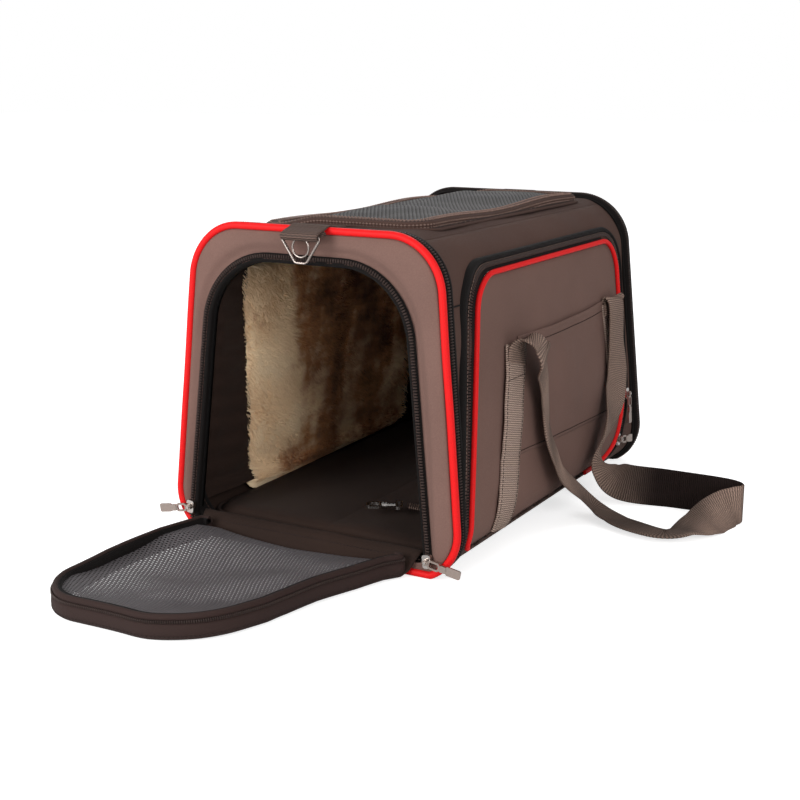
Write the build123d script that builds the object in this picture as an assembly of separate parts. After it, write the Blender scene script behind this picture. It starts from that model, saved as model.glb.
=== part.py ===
"""Soft-sided pet carrier bag with a fold-down mesh door, built as separate sewn and metal pieces.

Units are millimetres.  X is the width, Y the length (the door end is at -Y) and Z is up.
The origin is the centre of the base, on its underside.
"""
import os
from math import atan2, cos, degrees, radians, sin

from build123d import *

# ---- driving dimensions -------------------------------------------------------------------------
LENGTH = 442.0          # over the two end panels
BASE_W = 300.0          # width at the floor
TOP_W = 245.0           # width at the top; the sides lean in
HEIGHT = 290.0          # height of the fabric body
BOTTOM_R = 42.0         # rounded long edges of the base
TOP_R = 50.0            # rounded long edges of the top
WALL = 4.0              # padded fabric wall
PIPING_D = 7.0          # red piping round the two ends
CLEAR = 1.5             # gap between the closed door and its opening
BASE_SEAM = 24.0        # height of the seam between the base and the sides
TOP_SEAM = 262.0        # height of the seam between the sides and the top
END_INSET = 3.0         # the end panels stop this far inside the body's outline
REAR_WINDOW = 150.0     # square mesh window in the rear panel
REAR_WINDOW_R = 30.0
FRAME_WIRE_R = 1.6      # spring wire sewn in behind each end
FRAME_INSET = 7.0
FRAME_BACK = 9.0
WEBBING_W = 38.0        # handle and trim webbing
WEBBING_T = 2.5

# fold-down door and its opening in the front panel
DOOR_X = -6.0           # the opening is sewn a little to the left of centre
DOOR_LOW_W = 247.0
DOOR_HIGH_W = 194.0
DOOR_LOW_Z = 12.0
DOOR_HIGH_Z = 262.0
DOOR_CORNER_R = 66.0
DOOR_FOOT_R = 8.0
DOOR_DEPTH = 22.0       # the door is a shallow tray: rim height
DOOR_RIM_W = 8.0
DOOR_ZIP_W = 8.0        # zipper sewn round the opening
DOOR_TAPE_W = 6.0       # zipper half on the door's rim
FLOOR_GAP = 0.3         # what lies on the floor is drawn this far above it
DOOR_MESH_Z = 4.0
DOOR_HINGE = (223.0, 4.8, 2.0)   # fabric hinge: length, width, thickness
MESH_T = 2.0

# side panel that zips open, in its own plane: lengthwise, then up the slope
PANEL_LOW = (-203.0, 178.0)
PANEL_HIGH = (-150.0, 180.0)
PANEL_LOW_V = 28.0
PANEL_HIGH_V = 253.0
PANEL_FOOT_R = (12.0, 88.0)   # front foot, rear foot
PANEL_R = 38.0
PANEL_GAP = 3.0
SIDE_PIPING = 5.0
SIDE_BAND = 16.0
FOOT_CUT = 4.0          # trims stop this far above the panel's foot
POCKET = [(-92, 79), (132, 79), (124, 190), (-62, 190)]
POCKET_T = 3.0
FRONT_RUN = [(-140.0, 0.0), (-72.0, 220.0)]   # middle lines of the sewn webbing runs
REAR_RUN = [(150.0, 0.0), (143.0, 220.0)]

# inside: length and width with the corner radius
BOARD_SIZE = (246, 404, 20)
BOARD_T = 4.0
PAD_SIZE = (264, 408, 26)
INSIDE_Y = 5            # the board and the pad lie this far back
FLEECE = [(-176, 30), (178, 30), (170, 246), (-140, 246)]
FLEECE_R = 26
FLEECE_T = 12.0
TETHER = [(136.0, -92.0), (94.0, -109.0), (53.5, -128.5)]
TETHER_W = 16.0
TETHER_T = 2.0

# top flap
FLAP_X = 86.0
FLAP_Y = (-172.0, 180.0)
FLAP_R = 25.0
FLAP_BINDING = 14.0
FLAP_T = 3.4
FLAP_CROWN = 12.0

# rings and sliders
RING_WIRE_D = 3.9
RING_BORE_D = 4.0
RING_BAR = 56.0
RING_DROP = 17.0
RING_OUT = 8.0          # the ring's bar stands this far in front of the end panel
RING_BELOW = 3.0        # and this far below the body's top
RING_LOOP_R = 4.0
PIN_D = 2.4
EYE_BORE_D = 2.5
SLIDER = (12.0, 8.0, 2.2)     # a slider's block: length, width, corner radius
SLIDER_T = 4.0
PULL_T = 2.4

SKIN = 1.0              # thickness of zipper tapes and bindings laid on a wall
END_TAPE_W = 10.0       # zipper tape behind each end's piping
HALF = LENGTH / 2
END_Y = HALF - WALL     # inner face of the end panels
LEAN = atan2((BASE_W - TOP_W) / 2, HEIGHT)
SIDE = Plane(origin=(BASE_W / 2, 0, 0), x_dir=(0, 1, 0), z_dir=(cos(LEAN), 0, sin(LEAN)))
HINGE_Y = -HALF - 5.0   # the door's hinge line, along X at DOOR_LOW_Z
PANEL_AXIS = (5.0, 25.0)  # the side panel's hinge line, along Y: out from the side, up the slope
HANDLE_AXIS = (7.0, 190.0)
FLOOR_TOP = 20.0        # top of the floor pad
HOOK_Z = FLOOR_TOP + 9.0


# ---- helpers ------------------------------------------------------------------------------------
def half_width(z, grow=0.0):
    """Half the bag's width at height z, with the wall grown outwards."""
    return BASE_W / 2 + grow / cos(LEAN) - z * (BASE_W - TOP_W) / 2 / HEIGHT


def section(grow=0.0):
    """The bag's cross-section, grown outwards."""
    low, high = -grow, HEIGHT + grow
    face = Polygon(
        (-half_width(low, grow), low),
        (half_width(low, grow), low),
        (half_width(high, grow), high),
        (-half_width(high, grow), high),
        align=None,
    )
    face = fillet(face.vertices().sort_by(Axis.Y)[:2], BOTTOM_R + grow)
    return fillet(face.vertices().sort_by(Axis.Y)[-2:], TOP_R + grow)


def along_y(face, y0, y1):
    """Extrude a face drawn as (x, z) from y0 to y1."""
    return extrude(Plane.XZ.offset(-y1) * face, amount=y1 - y0)


def flat(face, z0, z1):
    """Extrude a face drawn as (x, y) from z0 to z1."""
    return extrude(Plane.XY.offset(z0) * face, amount=z1 - z0)


def on_side(face, n0, n1):
    """Extrude a face drawn in the right side's plane, between two distances out from it."""
    return extrude(SIDE.offset(n0) * face, amount=n1 - n0)


def side_point(y, v, n):
    """A point of the right side's plane: lengthwise, up the slope, outwards."""
    return SIDE.from_local_coords(Vector(y, v, n))


def mirrored(shape):
    """The left-hand twin of a right-hand piece."""
    return mirror(shape, about=Plane.YZ)


def opening(grow=0.0):
    """The door opening in the front panel, drawn as (x, z)."""
    face = Polygon(
        (DOOR_X - DOOR_LOW_W / 2, DOOR_LOW_Z),
        (DOOR_X + DOOR_LOW_W / 2, DOOR_LOW_Z),
        (DOOR_X + DOOR_HIGH_W / 2, DOOR_HIGH_Z),
        (DOOR_X - DOOR_HIGH_W / 2, DOOR_HIGH_Z),
        align=None,
    )
    face = fillet(face.vertices().sort_by(Axis.Y)[:2], DOOR_FOOT_R)
    face = fillet(face.vertices().sort_by(Axis.Y)[-2:], DOOR_CORNER_R)
    return offset(face, amount=grow) if grow else face


def door_outline(shrink):
    """The door lying open: the opening's outline turned down about the hinge line, drawn as (x, y)."""
    face = mirror(opening(-shrink), about=Plane.XZ)
    return Pos(0, HINGE_Y + DOOR_LOW_Z) * face


def panel_outline(grow=0.0):
    """The zip-open side panel, drawn as (y, v)."""
    face = Polygon(
        (PANEL_LOW[0], PANEL_LOW_V),
        (PANEL_LOW[1], PANEL_LOW_V),
        (PANEL_HIGH[1], PANEL_HIGH_V),
        (PANEL_HIGH[0], PANEL_HIGH_V),
        align=None,
    )
    face = fillet(face.vertices().sort_by(Axis.Y)[-2:], PANEL_R)
    feet = face.vertices().sort_by(Axis.Y)[:2].sort_by(Axis.X)
    face = fillet(feet[0], PANEL_FOOT_R[0])
    face = fillet(face.vertices().sort_by(Axis.Y)[:2].sort_by(Axis.X)[-1], PANEL_FOOT_R[1])
    return offset(face, amount=grow) if grow else face


def flap_outline(shrink=0.0):
    """The top flap, drawn as (x, y)."""
    face = Pos(0, (FLAP_Y[0] + FLAP_Y[1]) / 2) * RectangleRounded(
        2 * FLAP_X - 2 * shrink, FLAP_Y[1] - FLAP_Y[0] - 2 * shrink, FLAP_R - shrink
    )
    return face


def strip(points, width):
    """A flat strip of constant width along a polyline in the sketch plane."""
    face = None
    for (x0, y0), (x1, y1) in zip(points, points[1:]):
        run = Vector(x1 - x0, y1 - y0)
        angle = degrees(atan2(y1 - y0, x1 - x0))
        piece = Pos((x0 + x1) / 2, (y0 + y1) / 2) * Rot(0, 0, angle) * Rectangle(run.length, width)
        face = piece if face is None else face + piece
        face = face + Pos(x1, y1) * Circle(width / 2)
    return face


def above_floor(shape):
    """The part of a shape that stands above the base plane."""
    return shape & Pos(0, 0, HEIGHT) * Box(4 * BASE_W, 4 * LENGTH, 2 * HEIGHT)


# ---- body shell ---------------------------------------------------------------------------------
def make_shell():
    """The fabric walls, split where they are sewn together: base, two side borders and top border."""
    tube = along_y(section() - section(-WALL), -END_Y, END_Y)
    window = on_side(panel_outline(PANEL_GAP), -40, 10)
    tube = tube - window - mirrored(window)
    tube = tube - flat(flap_outline(FLAP_BINDING), HEIGHT - 20, HEIGHT + 10)
    low = Pos(0, 0, BASE_SEAM / 2) * Box(2 * BASE_W, 2 * LENGTH, BASE_SEAM)
    high = Pos(0, 0, TOP_SEAM + HEIGHT / 2) * Box(2 * BASE_W, 2 * LENGTH, HEIGHT)
    sides = tube - low - high
    right = sides & Pos(BASE_W, 0, HEIGHT / 2) * Box(2 * BASE_W, 2 * LENGTH, 2 * HEIGHT)
    left = sides & Pos(-BASE_W, 0, HEIGHT / 2) * Box(2 * BASE_W, 2 * LENGTH, 2 * HEIGHT)
    return {
        "base_panel": tube & low,
        "side_border_right": right,
        "side_border_left": left,
        "top_border": tube & high,
    }


def make_ends():
    """The two end panels, the piping round them and the zipper tapes behind the piping."""
    plate = section(-END_INSET)
    front = along_y(plate - opening(), -HALF, -END_Y)
    window = Pos(0, HEIGHT / 2) * RectangleRounded(REAR_WINDOW, REAR_WINDOW, REAR_WINDOW_R)
    rear = along_y(plate - window, END_Y, HALF)
    rim = section(PIPING_D - END_INSET) - section(-END_INSET)
    piping_y = -HALF - END_INSET
    front_piping = above_floor(along_y(rim, piping_y, piping_y + PIPING_D))
    tape = section(SKIN) - section()
    front_tape = above_floor(along_y(tape, -END_Y, -END_Y + END_TAPE_W))
    loop = (opening(DOOR_ZIP_W) - opening()) & section(-END_INSET)
    foot = Pos(0, DOOR_LOW_Z / 2) * Rectangle(2 * BASE_W, DOOR_LOW_Z)
    wire_path = Plane.XZ.offset(HALF - FRAME_BACK) * section(-FRAME_INSET)
    wire = sweep_ring(wire_path, FRAME_WIRE_R)
    return {
        "front_panel": front,
        "rear_panel": rear,
        "rear_mesh_window": along_y(window, END_Y + 1.0, END_Y + 1.0 + MESH_T),
        "front_piping": front_piping,
        "rear_piping": mirror(front_piping, about=Plane.XZ),
        "front_zipper_tape": front_tape,
        "rear_zipper_tape": mirror(front_tape, about=Plane.XZ),
        "door_opening_zipper": along_y(loop - foot, -HALF - SKIN, -HALF),
        "front_wire_frame": wire,
        "rear_wire_frame": mirror(wire, about=Plane.XZ),
    }


def sweep_ring(face, radius):
    """A round wire bent along the outline of a face."""
    wire = face.wires()[0]
    profile = Plane(origin=wire @ 0, z_dir=wire % 0) * Circle(radius)
    return sweep(profile, path=wire)


def make_inside():
    """The stiff board, the floor pad, the fleece lining of the left wall and the tether strap."""
    inside = along_y(section(-WALL), -LENGTH, LENGTH)
    board = Pos(0, INSIDE_Y) * RectangleRounded(*BOARD_SIZE)
    pad = Pos(0, INSIDE_Y) * RectangleRounded(*PAD_SIZE)
    fleece = fillet(Polygon(*FLEECE, align=None).vertices(), FLEECE_R)
    fleece_n = -WALL - 5.0
    tether = flat(strip(TETHER, TETHER_W), HOOK_Z - TETHER_T / 2, HOOK_Z + TETHER_T / 2) & inside
    board_top = WALL + BOARD_T
    return {
        "base_board": flat(board, WALL, board_top) & inside,
        "floor_pad": flat(pad, board_top, FLOOR_TOP) & inside,
        "fleece_lining": mirrored(on_side(fleece, fleece_n - FLEECE_T, fleece_n)),
        "tether_strap": tether,
    }


# ---- fold-down door -----------------------------------------------------------------------------
def make_door():
    """The door lies open on the floor: a rim, a mesh floor inside it and a zipper tape on top."""
    low, high = FLOOR_GAP, FLOOR_GAP + DOOR_DEPTH
    rim = flat(door_outline(CLEAR) - door_outline(CLEAR + DOOR_RIM_W), low, high)
    mesh = flat(door_outline(CLEAR + DOOR_RIM_W), DOOR_MESH_Z, DOOR_MESH_Z + MESH_T)
    tape = flat(door_outline(CLEAR) - door_outline(CLEAR + DOOR_TAPE_W), high, high + SKIN)
    hinge = Pos(DOOR_X, HINGE_Y + 2.6, DOOR_LOW_Z - 2.0) * Box(*DOOR_HINGE)
    return {
        "door_rim": rim,
        "door_mesh": mesh,
        "door_zipper_tape": tape,
        "door_hinge_tape": hinge,
    }


# ---- side panels --------------------------------------------------------------------------------
def make_side():
    """The right-hand panel with its piping, pocket, webbing runs and the zipper tape round it."""
    panel = on_side(panel_outline(), -WALL, 0)
    foot = Pos(0, PANEL_LOW_V) * Rectangle(2 * LENGTH, 2 * FOOT_CUT)
    ring = panel_outline(SIDE_PIPING / 2) - panel_outline(-SIDE_PIPING / 2) - foot
    piping = on_side(ring, 0, SIDE_PIPING - 0.2)
    below_fold = Pos(0, HANDLE_AXIS[1] / 2) * Rectangle(2 * LENGTH, HANDLE_AXIS[1] + 4.0)
    keep = panel_outline(-SIDE_PIPING / 2 - 0.5) & below_fold
    front_web = on_side(strip(FRONT_RUN, WEBBING_W) & keep, 0, WEBBING_T)
    rear_web = on_side(strip(REAR_RUN, WEBBING_W) & keep, 0, WEBBING_T)
    pocket = Polygon(*POCKET, align=None)
    pocket = fillet(pocket.vertices().sort_by(Axis.Y)[:2], 10)
    pocket = on_side(pocket, 0, POCKET_T) - front_web - rear_web
    band = panel_outline(SIDE_BAND) - panel_outline(SIDE_PIPING / 2 + 1.0) - foot
    tape = on_side(band, -60, 10)
    gusset = on_side(panel_outline(PANEL_GAP - 0.5) - panel_outline(-14.0), -WALL - 3.5, -WALL - 0.5)
    skin = along_y(section(SKIN) - section(), -END_Y + END_TAPE_W, END_Y - END_TAPE_W)
    tape = skin & tape & Pos(BASE_W, 0, 0) * Box(2 * BASE_W, 2 * LENGTH, 4 * HEIGHT)
    return {
        "panel": panel,
        "panel_piping": piping,
        "pocket": pocket,
        "front_webbing": front_web,
        "rear_webbing": rear_web,
        "panel_zipper": tape,
        "gusset": gusset,
    }


def make_handle():
    """One webbing handle: it hangs from the two webbing runs and lies out on the floor beside the bag."""
    n0 = HANDLE_AXIS[0] - WEBBING_T / 2
    n1 = HANDLE_AXIS[0] + WEBBING_T / 2
    fold = HANDLE_AXIS[1]
    front = strip([(-62.0, fold - 4), (-68.0, 128.0), (-52.0, 84.0), (-14.0, 48.0)], WEBBING_W)
    rear = strip([(142.0, fold - 4), (141.0, 110.0), (116.0, 62.0), (98.0, 48.0)], WEBBING_W)
    hang = on_side(front, n0, n1) + on_side(rear, n0, n1)
    inner = side_point(0, PANEL_LOW_V, HANDLE_AXIS[0]).X
    step = 190.0     # further out than this the webbing stands on the floor
    reach = 310.0
    front_drop = [(inner, -14.0), (step, 2.0)]
    rear_drop = [(inner, 98.0), (step, 84.0)]
    drop = strip(front_drop, WEBBING_T) + strip(rear_drop, WEBBING_T)
    front_run = [(step, 2.0), (232.0, -20.0), (262.0, -8.0), (284.0, 34.0), (reach, 60.0)]
    rear_run = [(step, 84.0), (252.0, 72.0), (reach, 60.0)]
    lying = strip(front_run, WEBBING_T) + strip(rear_run, WEBBING_T)
    return hang + flat(drop, 27.5, 62.0) + flat(lying, FLOOR_GAP, WEBBING_W)


# ---- top flap -----------------------------------------------------------------------------------
def make_flap():
    """The top flap: a flat binding frame with a crowned mesh sheet inside it."""
    low = HEIGHT + 0.6
    binding = flat(flap_outline() - flap_outline(FLAP_BINDING), low, low + FLAP_T)
    half = FLAP_X - FLAP_BINDING + 3.0
    edge, crown = low + 0.6, low + 0.6 + FLAP_CROWN
    under = ThreePointArc((-half, edge), (0, crown), (half, edge))
    over = ThreePointArc((half, edge + MESH_T), (0, crown + MESH_T), (-half, edge + MESH_T))
    sides = Line((half, edge), (half, edge + MESH_T)) + Line((-half, edge + MESH_T), (-half, edge))
    vault = along_y(make_face(under + over + sides), FLAP_Y[0], FLAP_Y[1])
    mesh = vault & flat(flap_outline(FLAP_BINDING), HEIGHT - 5, HEIGHT + 40)
    return {"top_flap_binding": binding, "top_flap_mesh": mesh}


# ---- rings, sliders and the tether hook ---------------------------------------------------------
def make_ring_set():
    """The front carrying ring: a webbing tab with a round loop, and a triangular wire ring in it."""
    bar_y, bar_z = -HALF - RING_OUT, HEIGHT - RING_BELOW
    tab = Pos(0, -HALF + 10.0, HEIGHT + 5.3) * Box(WEBBING_W, 36.0, 2.4)
    front = Pos(0, -HALF - 6.9, HEIGHT - 0.1) * Box(WEBBING_W, 2.2, 13.2)
    loop = Pos(0, bar_y, bar_z) * Rot(0, 90, 0) * Cylinder(RING_LOOP_R, WEBBING_W)
    bore = Pos(0, bar_y, bar_z) * Rot(0, 90, 0) * Cylinder(RING_BORE_D / 2, WEBBING_W + 2)
    tab = tab + front + loop - bore
    half = RING_BAR / 2
    outline = Polygon((-half, 0), (half, 0), (7, -RING_DROP), (-7, -RING_DROP), align=None)
    outline = fillet(outline.vertices(), 2.3)
    ring = sweep_ring(Plane.XZ.offset(-bar_y) * Pos(0, bar_z) * outline, RING_WIRE_D / 2)
    return tab, ring


def make_slider(base, along, out):
    """A zipper slider block with the pin that its pull turns on.

    base is the block's centre on the tape, along is the zipper's direction, out faces the user.
    """
    frame = Plane(origin=base, x_dir=along, z_dir=out)
    block = extrude(frame * RectangleRounded(*SLIDER), amount=SLIDER_T)
    pin = extrude(frame.offset(SLIDER_T) * Circle(PIN_D / 2), amount=4.0)
    return block + pin


def make_pull(base, toward, out, reach):
    """A zipper pull: an eye on the slider's pin, a wire bail, a block and a flat tab."""
    frame = Plane(origin=base, x_dir=toward, z_dir=out).offset(SLIDER_T + 0.6)
    eye = extrude(frame * (Circle(2.6) - Circle(EYE_BORE_D / 2)), amount=PULL_T)
    bail = RectangleRounded(12, 8, 3) - RectangleRounded(8.6, 4.6, 1.5)
    bail = extrude(frame.offset(0.3) * Pos(8.4, 0) * bail, amount=1.8)
    block = extrude(frame * Pos(17.4, 0) * RectangleRounded(6, 6, 1), amount=PULL_T)
    tab = extrude(frame.offset(0.4) * Pos(20.4 + (reach - 20.4) / 2, 0)
                  * RectangleRounded(reach - 20.4, 8, 1.5), amount=1.6)
    return eye + bail + block + tab


def make_tether_hook():
    """The swivel snap hook on the tether strap: swivel eye, hook and sprung gate."""
    tip = Vector(40.0, -135.0, HOOK_Z)
    toward = Vector(-0.87, -0.49, 0).normalized()
    frame = Plane(origin=tip, x_dir=toward, z_dir=(0, 0, 1))
    eye = extrude(frame.offset(-1.5) * Pos(-2, 0) * (RectangleRounded(7, 20, 3)
                  - RectangleRounded(3, 16, 1)), amount=3.0)
    post = Plane(origin=tip, x_dir=(0, 0, 1), z_dir=toward)
    eye = eye + extrude(post.offset(1.4) * Circle(2.0), amount=10.0)
    hook_arc = Pos(21, 0) * (Circle(8.0) - Circle(4.8)) - Pos(21, 5) * Rectangle(9.0, 7.0)
    hook = extrude(frame.offset(-1.6) * hook_arc, amount=3.2)
    hook = hook + extrude(post.offset(9.0) * Circle(3.4), amount=5.4)
    hook = hook - extrude(post.offset(2.0) * Circle(2.05), amount=10.0)
    gate = extrude(frame.offset(-1.2) * Pos(21, 6.4) * Rectangle(8.4, 2.4), amount=2.4)
    return eye, hook, gate


def zipper_y(v):
    """Where the side panel's zipper is at this height on its rounded rear foot."""
    radius = PANEL_FOOT_R[1] + SIDE_BAND / 2 + 1.0
    centre_y, centre_v = PANEL_LOW[1] - PANEL_FOOT_R[1], PANEL_LOW_V + PANEL_FOOT_R[1]
    return centre_y + (radius ** 2 - (v - centre_v) ** 2) ** 0.5


# ---- assembly -----------------------------------------------------------------------------------
def build():
    """Every node of the bag by name."""
    nodes = {}
    nodes.update(make_shell())
    nodes.update(make_ends())
    nodes.update(make_inside())
    nodes.update(make_door())
    for name, shape in make_side().items():
        nodes["right_" + name] = shape
        nodes["left_" + name] = mirrored(shape)
    handle = make_handle()
    nodes["right_handle"] = handle
    nodes["left_handle"] = mirrored(handle)
    nodes.update(make_flap())

    tab, ring = make_ring_set()
    nodes["front_ring_tab"] = tab
    nodes["front_ring"] = ring
    nodes["rear_ring_tab"] = mirror(tab, about=Plane.XZ)
    nodes["rear_ring"] = mirror(ring, about=Plane.XZ)

    # door sliders stand at the feet of the opening's zipper
    edge = Vector((DOOR_HIGH_W - DOOR_LOW_W) / 2, 0, DOOR_HIGH_Z - DOOR_LOW_Z).normalized()
    front = Vector(0, -1, 0)
    down_out = Vector(cos(radians(-10)), 0, sin(radians(-10)))
    for name, sign, foot_z in (("right", 1, 17.0), ("left", -1, 26.0)):
        foot_x = DOOR_LOW_W / 2 + edge.X / edge.Z * (foot_z - DOOR_LOW_Z) + 3.6
        base = Vector(DOOR_X + sign * foot_x, -HALF - SKIN - 0.3, foot_z)
        along = Vector(sign * edge.X, 0, edge.Z)
        toward = Vector(sign * down_out.X, 0, down_out.Z)
        nodes[f"door_slider_{name}"] = make_slider(base, along, front)
        nodes[f"door_pull_{name}"] = make_pull(base, toward, front, 34.0)

    # two sliders close each side panel; they stand on the zipper where it rounds the rear foot
    up = Vector(-sin(LEAN), 0, cos(LEAN))
    out = Vector(cos(LEAN), 0, sin(LEAN))
    sliders = (
        ("upper", 84.0, Vector(0, 0.09, 0) + up, Vector(0, -0.09, 0) - up),
        ("lower", 40.0, Vector(0, 1.2, 0) + up, Vector(0, 1.0, 0) - 0.16 * up),
    )
    for name, v, along, toward in sliders:
        base = side_point(zipper_y(v), v, SKIN + 0.3)
        slider = make_slider(base, along.normalized(), out)
        pull = make_pull(base, toward.normalized(), out, 32.0)
        nodes[f"right_{name}_slider"] = slider
        nodes[f"right_{name}_pull"] = pull
        nodes[f"left_{name}_slider"] = mirrored(slider)
        nodes[f"left_{name}_pull"] = mirrored(pull)

    eye, hook, gate = make_tether_hook()
    nodes["tether_swivel"] = eye
    nodes["tether_hook"] = hook
    nodes["tether_gate"] = gate
    return nodes


if __name__ == "__main__":
    os.makedirs("parts", exist_ok=True)
    for node, shape in build().items():
        export_step(shape, f"parts/{node}.step")
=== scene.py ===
"""The looks of the soft-sided pet carrier bag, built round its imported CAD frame.

The helpers work in millimetres and Batch.build() scales to metres.  X is the bag's width, Y its
length (the door end is at -Y) and Z is up.  Right-hand pieces are drawn and mirrored for the left.
"""
import math

import bmesh
import bpy
import numpy as np
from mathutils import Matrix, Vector, noise


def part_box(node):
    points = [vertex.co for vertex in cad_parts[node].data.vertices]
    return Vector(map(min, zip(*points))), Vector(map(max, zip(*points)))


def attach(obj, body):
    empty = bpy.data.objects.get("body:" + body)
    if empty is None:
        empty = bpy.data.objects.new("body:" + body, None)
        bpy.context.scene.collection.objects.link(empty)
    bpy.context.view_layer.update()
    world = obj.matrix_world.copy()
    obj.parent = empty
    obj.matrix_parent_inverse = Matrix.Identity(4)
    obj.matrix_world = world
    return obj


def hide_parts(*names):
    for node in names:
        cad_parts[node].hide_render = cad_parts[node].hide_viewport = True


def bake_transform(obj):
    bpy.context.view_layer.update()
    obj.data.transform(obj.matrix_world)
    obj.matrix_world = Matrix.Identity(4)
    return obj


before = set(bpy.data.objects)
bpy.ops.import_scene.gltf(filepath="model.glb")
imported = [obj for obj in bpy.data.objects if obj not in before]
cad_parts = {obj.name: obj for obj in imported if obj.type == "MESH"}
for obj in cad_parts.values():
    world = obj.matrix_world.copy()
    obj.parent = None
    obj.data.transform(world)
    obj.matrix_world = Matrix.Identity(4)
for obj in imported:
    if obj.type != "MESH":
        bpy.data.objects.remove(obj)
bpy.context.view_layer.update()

MM = 0.001
RANDOM = np.random.default_rng(7)


def box_mm(node):
    """Lowest and highest corner of a CAD node in millimetres."""
    low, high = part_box(node)
    return np.array(low) / MM, np.array(high) / MM


# ---- driving dimensions, mm ----------------------------------------------------------------------
HEIGHT = box_mm("top_border")[1][2]
FRONT_Y = box_mm("front_panel")[0][1]          # outer face of the front panel at the base
END_Y = -box_mm("front_panel")[1][1]           # inner face of the end panels
BASE_W = 300.0
TOP_W = 245.0
TOP_R = 50.0
BOTTOM_R = 42.0
LEAN_IN = 9.0            # the ends lean in by this much at the top
LEAN_FROM = 150.0        # and the lean fades out here, from the middle
PIPING_R = 3.3
WEBBING_W = 38.0
WEBBING_T = 2.3
RIB_PITCH = 2.0
TOOTH_PITCH = 2.5
STITCH_PITCH = 3.4
NET_PITCH = 4.0

LEAN = math.atan2((BASE_W - TOP_W) / 2, HEIGHT)
TOP_TURN = math.pi / 2 - LEAN
LOW_TURN = math.pi / 2 + LEAN
TOP_TANGENT = TOP_R * math.tan(TOP_TURN / 2)
LOW_TANGENT = BOTTOM_R * math.tan(LOW_TURN / 2)
SIDE_RUN = HEIGHT / math.cos(LEAN) - TOP_TANGENT - LOW_TANGENT
S_FLAT = TOP_W / 2 - TOP_TANGENT               # where the top's round edge starts, round from the middle
S_SIDE = S_FLAT + TOP_R * TOP_TURN             # where the straight side starts
S_LOW = S_SIDE + SIDE_RUN                      # where the base's round edge starts
S_BASE = S_LOW + BOTTOM_R * LOW_TURN           # where the flat base starts
S_END = S_BASE + BASE_W / 2 - LOW_TANGENT      # the middle of the base
S_OF_V = S_LOW + LOW_TANGENT                   # s + v, where v is the height up the slope
S_TOP_SEAM = 100.0       # seam between the top cover and the sides
V_FOOT = 22.0            # seam between the sides and the base
S_FOOT = S_OF_V - V_FOOT
V_TOP_SEAM = S_OF_V - S_TOP_SEAM

# fold-down door and its opening
DOOR_X = -6.0
DOOR_LOW = (-129.5, 117.5)
DOOR_HIGH = (-103.0, 91.0)
DOOR_Z = (12.0, 262.0)
DOOR_R = 66.0
DOOR_FOOT_R = 8.0
DOOR_CLEAR = 1.5         # gap between the closed door and its opening
HINGE_Y = -226.0
DOOR_FLAT = 0.88        # the lying door is drawn in by its slack
# its two side edges have slid to the left and in: distance from the hinge, then x
DOOR_LEFT = [(0, -117), (22, -120), (60, -127), (140, -130), (200, -127), (250, -122)]
DOOR_RIGHT = [(0, 104), (22, 92), (99, 70), (161, 58), (201, 45), (223, 38), (250, 27)]

# side panel, lengthwise and up the slope
PANEL = [(-203.0, V_FOOT), (178.0, V_FOOT), (180.0, 253.0), (-150.0, 253.0)]
PANEL_R = [10.0, 86.0, 38.0, 40.0]
PANEL_MID = (-10.0, 140.0)
BAND = [(-214.0, V_FOOT - 4), (192.0, V_FOOT - 4), (194.0, 268.0), (-182.0, 268.0), (-214.0, 62.0)]
BAND_R = [4.0, 84.0, 46.0, 52.0, 60.0]
PANEL_ARC = (-38.0, 211.0)   # the zip runs round the panel between these angles, foot to foot
BULGE = 7.0
FOLD_V = 190.0
FRONT_RUN = [(-135.0, V_FOOT), (-93.0, FOLD_V)]
REAR_RUN = [(146.0, V_FOOT), (139.0, FOLD_V)]

# top flap
FLAP = (86.0, -172.0, 180.0)
FLAP_BAND = 13.0
FLAP_R = 25.0
FLAP_MID = (0.0, 4.0)

# square mesh window in the rear panel
WINDOW_HALF = 75.0
WINDOW_Z = 145.0
WINDOW_R = 30.0

# wire rings
RING_WIRE_R = 1.95       # of the CAD ring, whose top is this far above the bar's middle
RING_DROP = 23.0


# ---- outlines ------------------------------------------------------------------------------------
def resample(points, count, closed=False):
    """count points evenly spaced along a polyline of any dimension."""
    points = np.asarray(points, float)
    if closed:
        points = np.vstack([points, points[:1]])
    steps = np.linalg.norm(np.diff(points, axis=0), axis=1)
    along = np.concatenate([[0.0], np.cumsum(steps)])
    at = np.linspace(0, along[-1], count, endpoint=not closed)
    return np.stack([np.interp(at, along, points[:, k]) for k in range(points.shape[1])], 1)


def spline(points, count):
    """A smooth curve through points (Catmull-Rom), evenly spaced."""
    p = np.asarray(points, float)
    p = np.vstack([2 * p[0] - p[1], p, 2 * p[-1] - p[-2]])
    out = []
    for a, b, c, d in zip(p, p[1:], p[2:], p[3:]):
        t = np.linspace(0, 1, 24, endpoint=False)[:, None]
        out.append(0.5 * (2 * b + (c - a) * t + (2 * a - 5 * b + 4 * c - d) * t ** 2
                          + (3 * b - a - 3 * c + d) * t ** 3))
    out.append(p[-2][None])
    return resample(np.vstack(out), count)


def rounded(corners, radii, count=720):
    """A closed outline with round corners, counter-clockwise corners given, evenly spaced."""
    corners = np.asarray(corners, float)
    points = []
    for i, radius in enumerate(radii):
        p = corners[i]
        back = corners[i - 1] - p
        ahead = corners[(i + 1) % len(corners)] - p
        back /= np.linalg.norm(back)
        ahead /= np.linalg.norm(ahead)
        half = math.acos(np.clip(back @ ahead, -1, 1)) / 2
        middle = back + ahead
        centre = p + middle / np.linalg.norm(middle) * radius / math.sin(half)
        start = p + back * radius / math.tan(half) - centre
        sweep_by = math.pi - 2 * half
        for turn in np.linspace(0, sweep_by, 16):
            c, s = math.cos(turn), math.sin(turn)
            points.append(centre + [start[0] * c - start[1] * s, start[0] * s + start[1] * c])
    return resample(points, count, closed=True)


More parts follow.
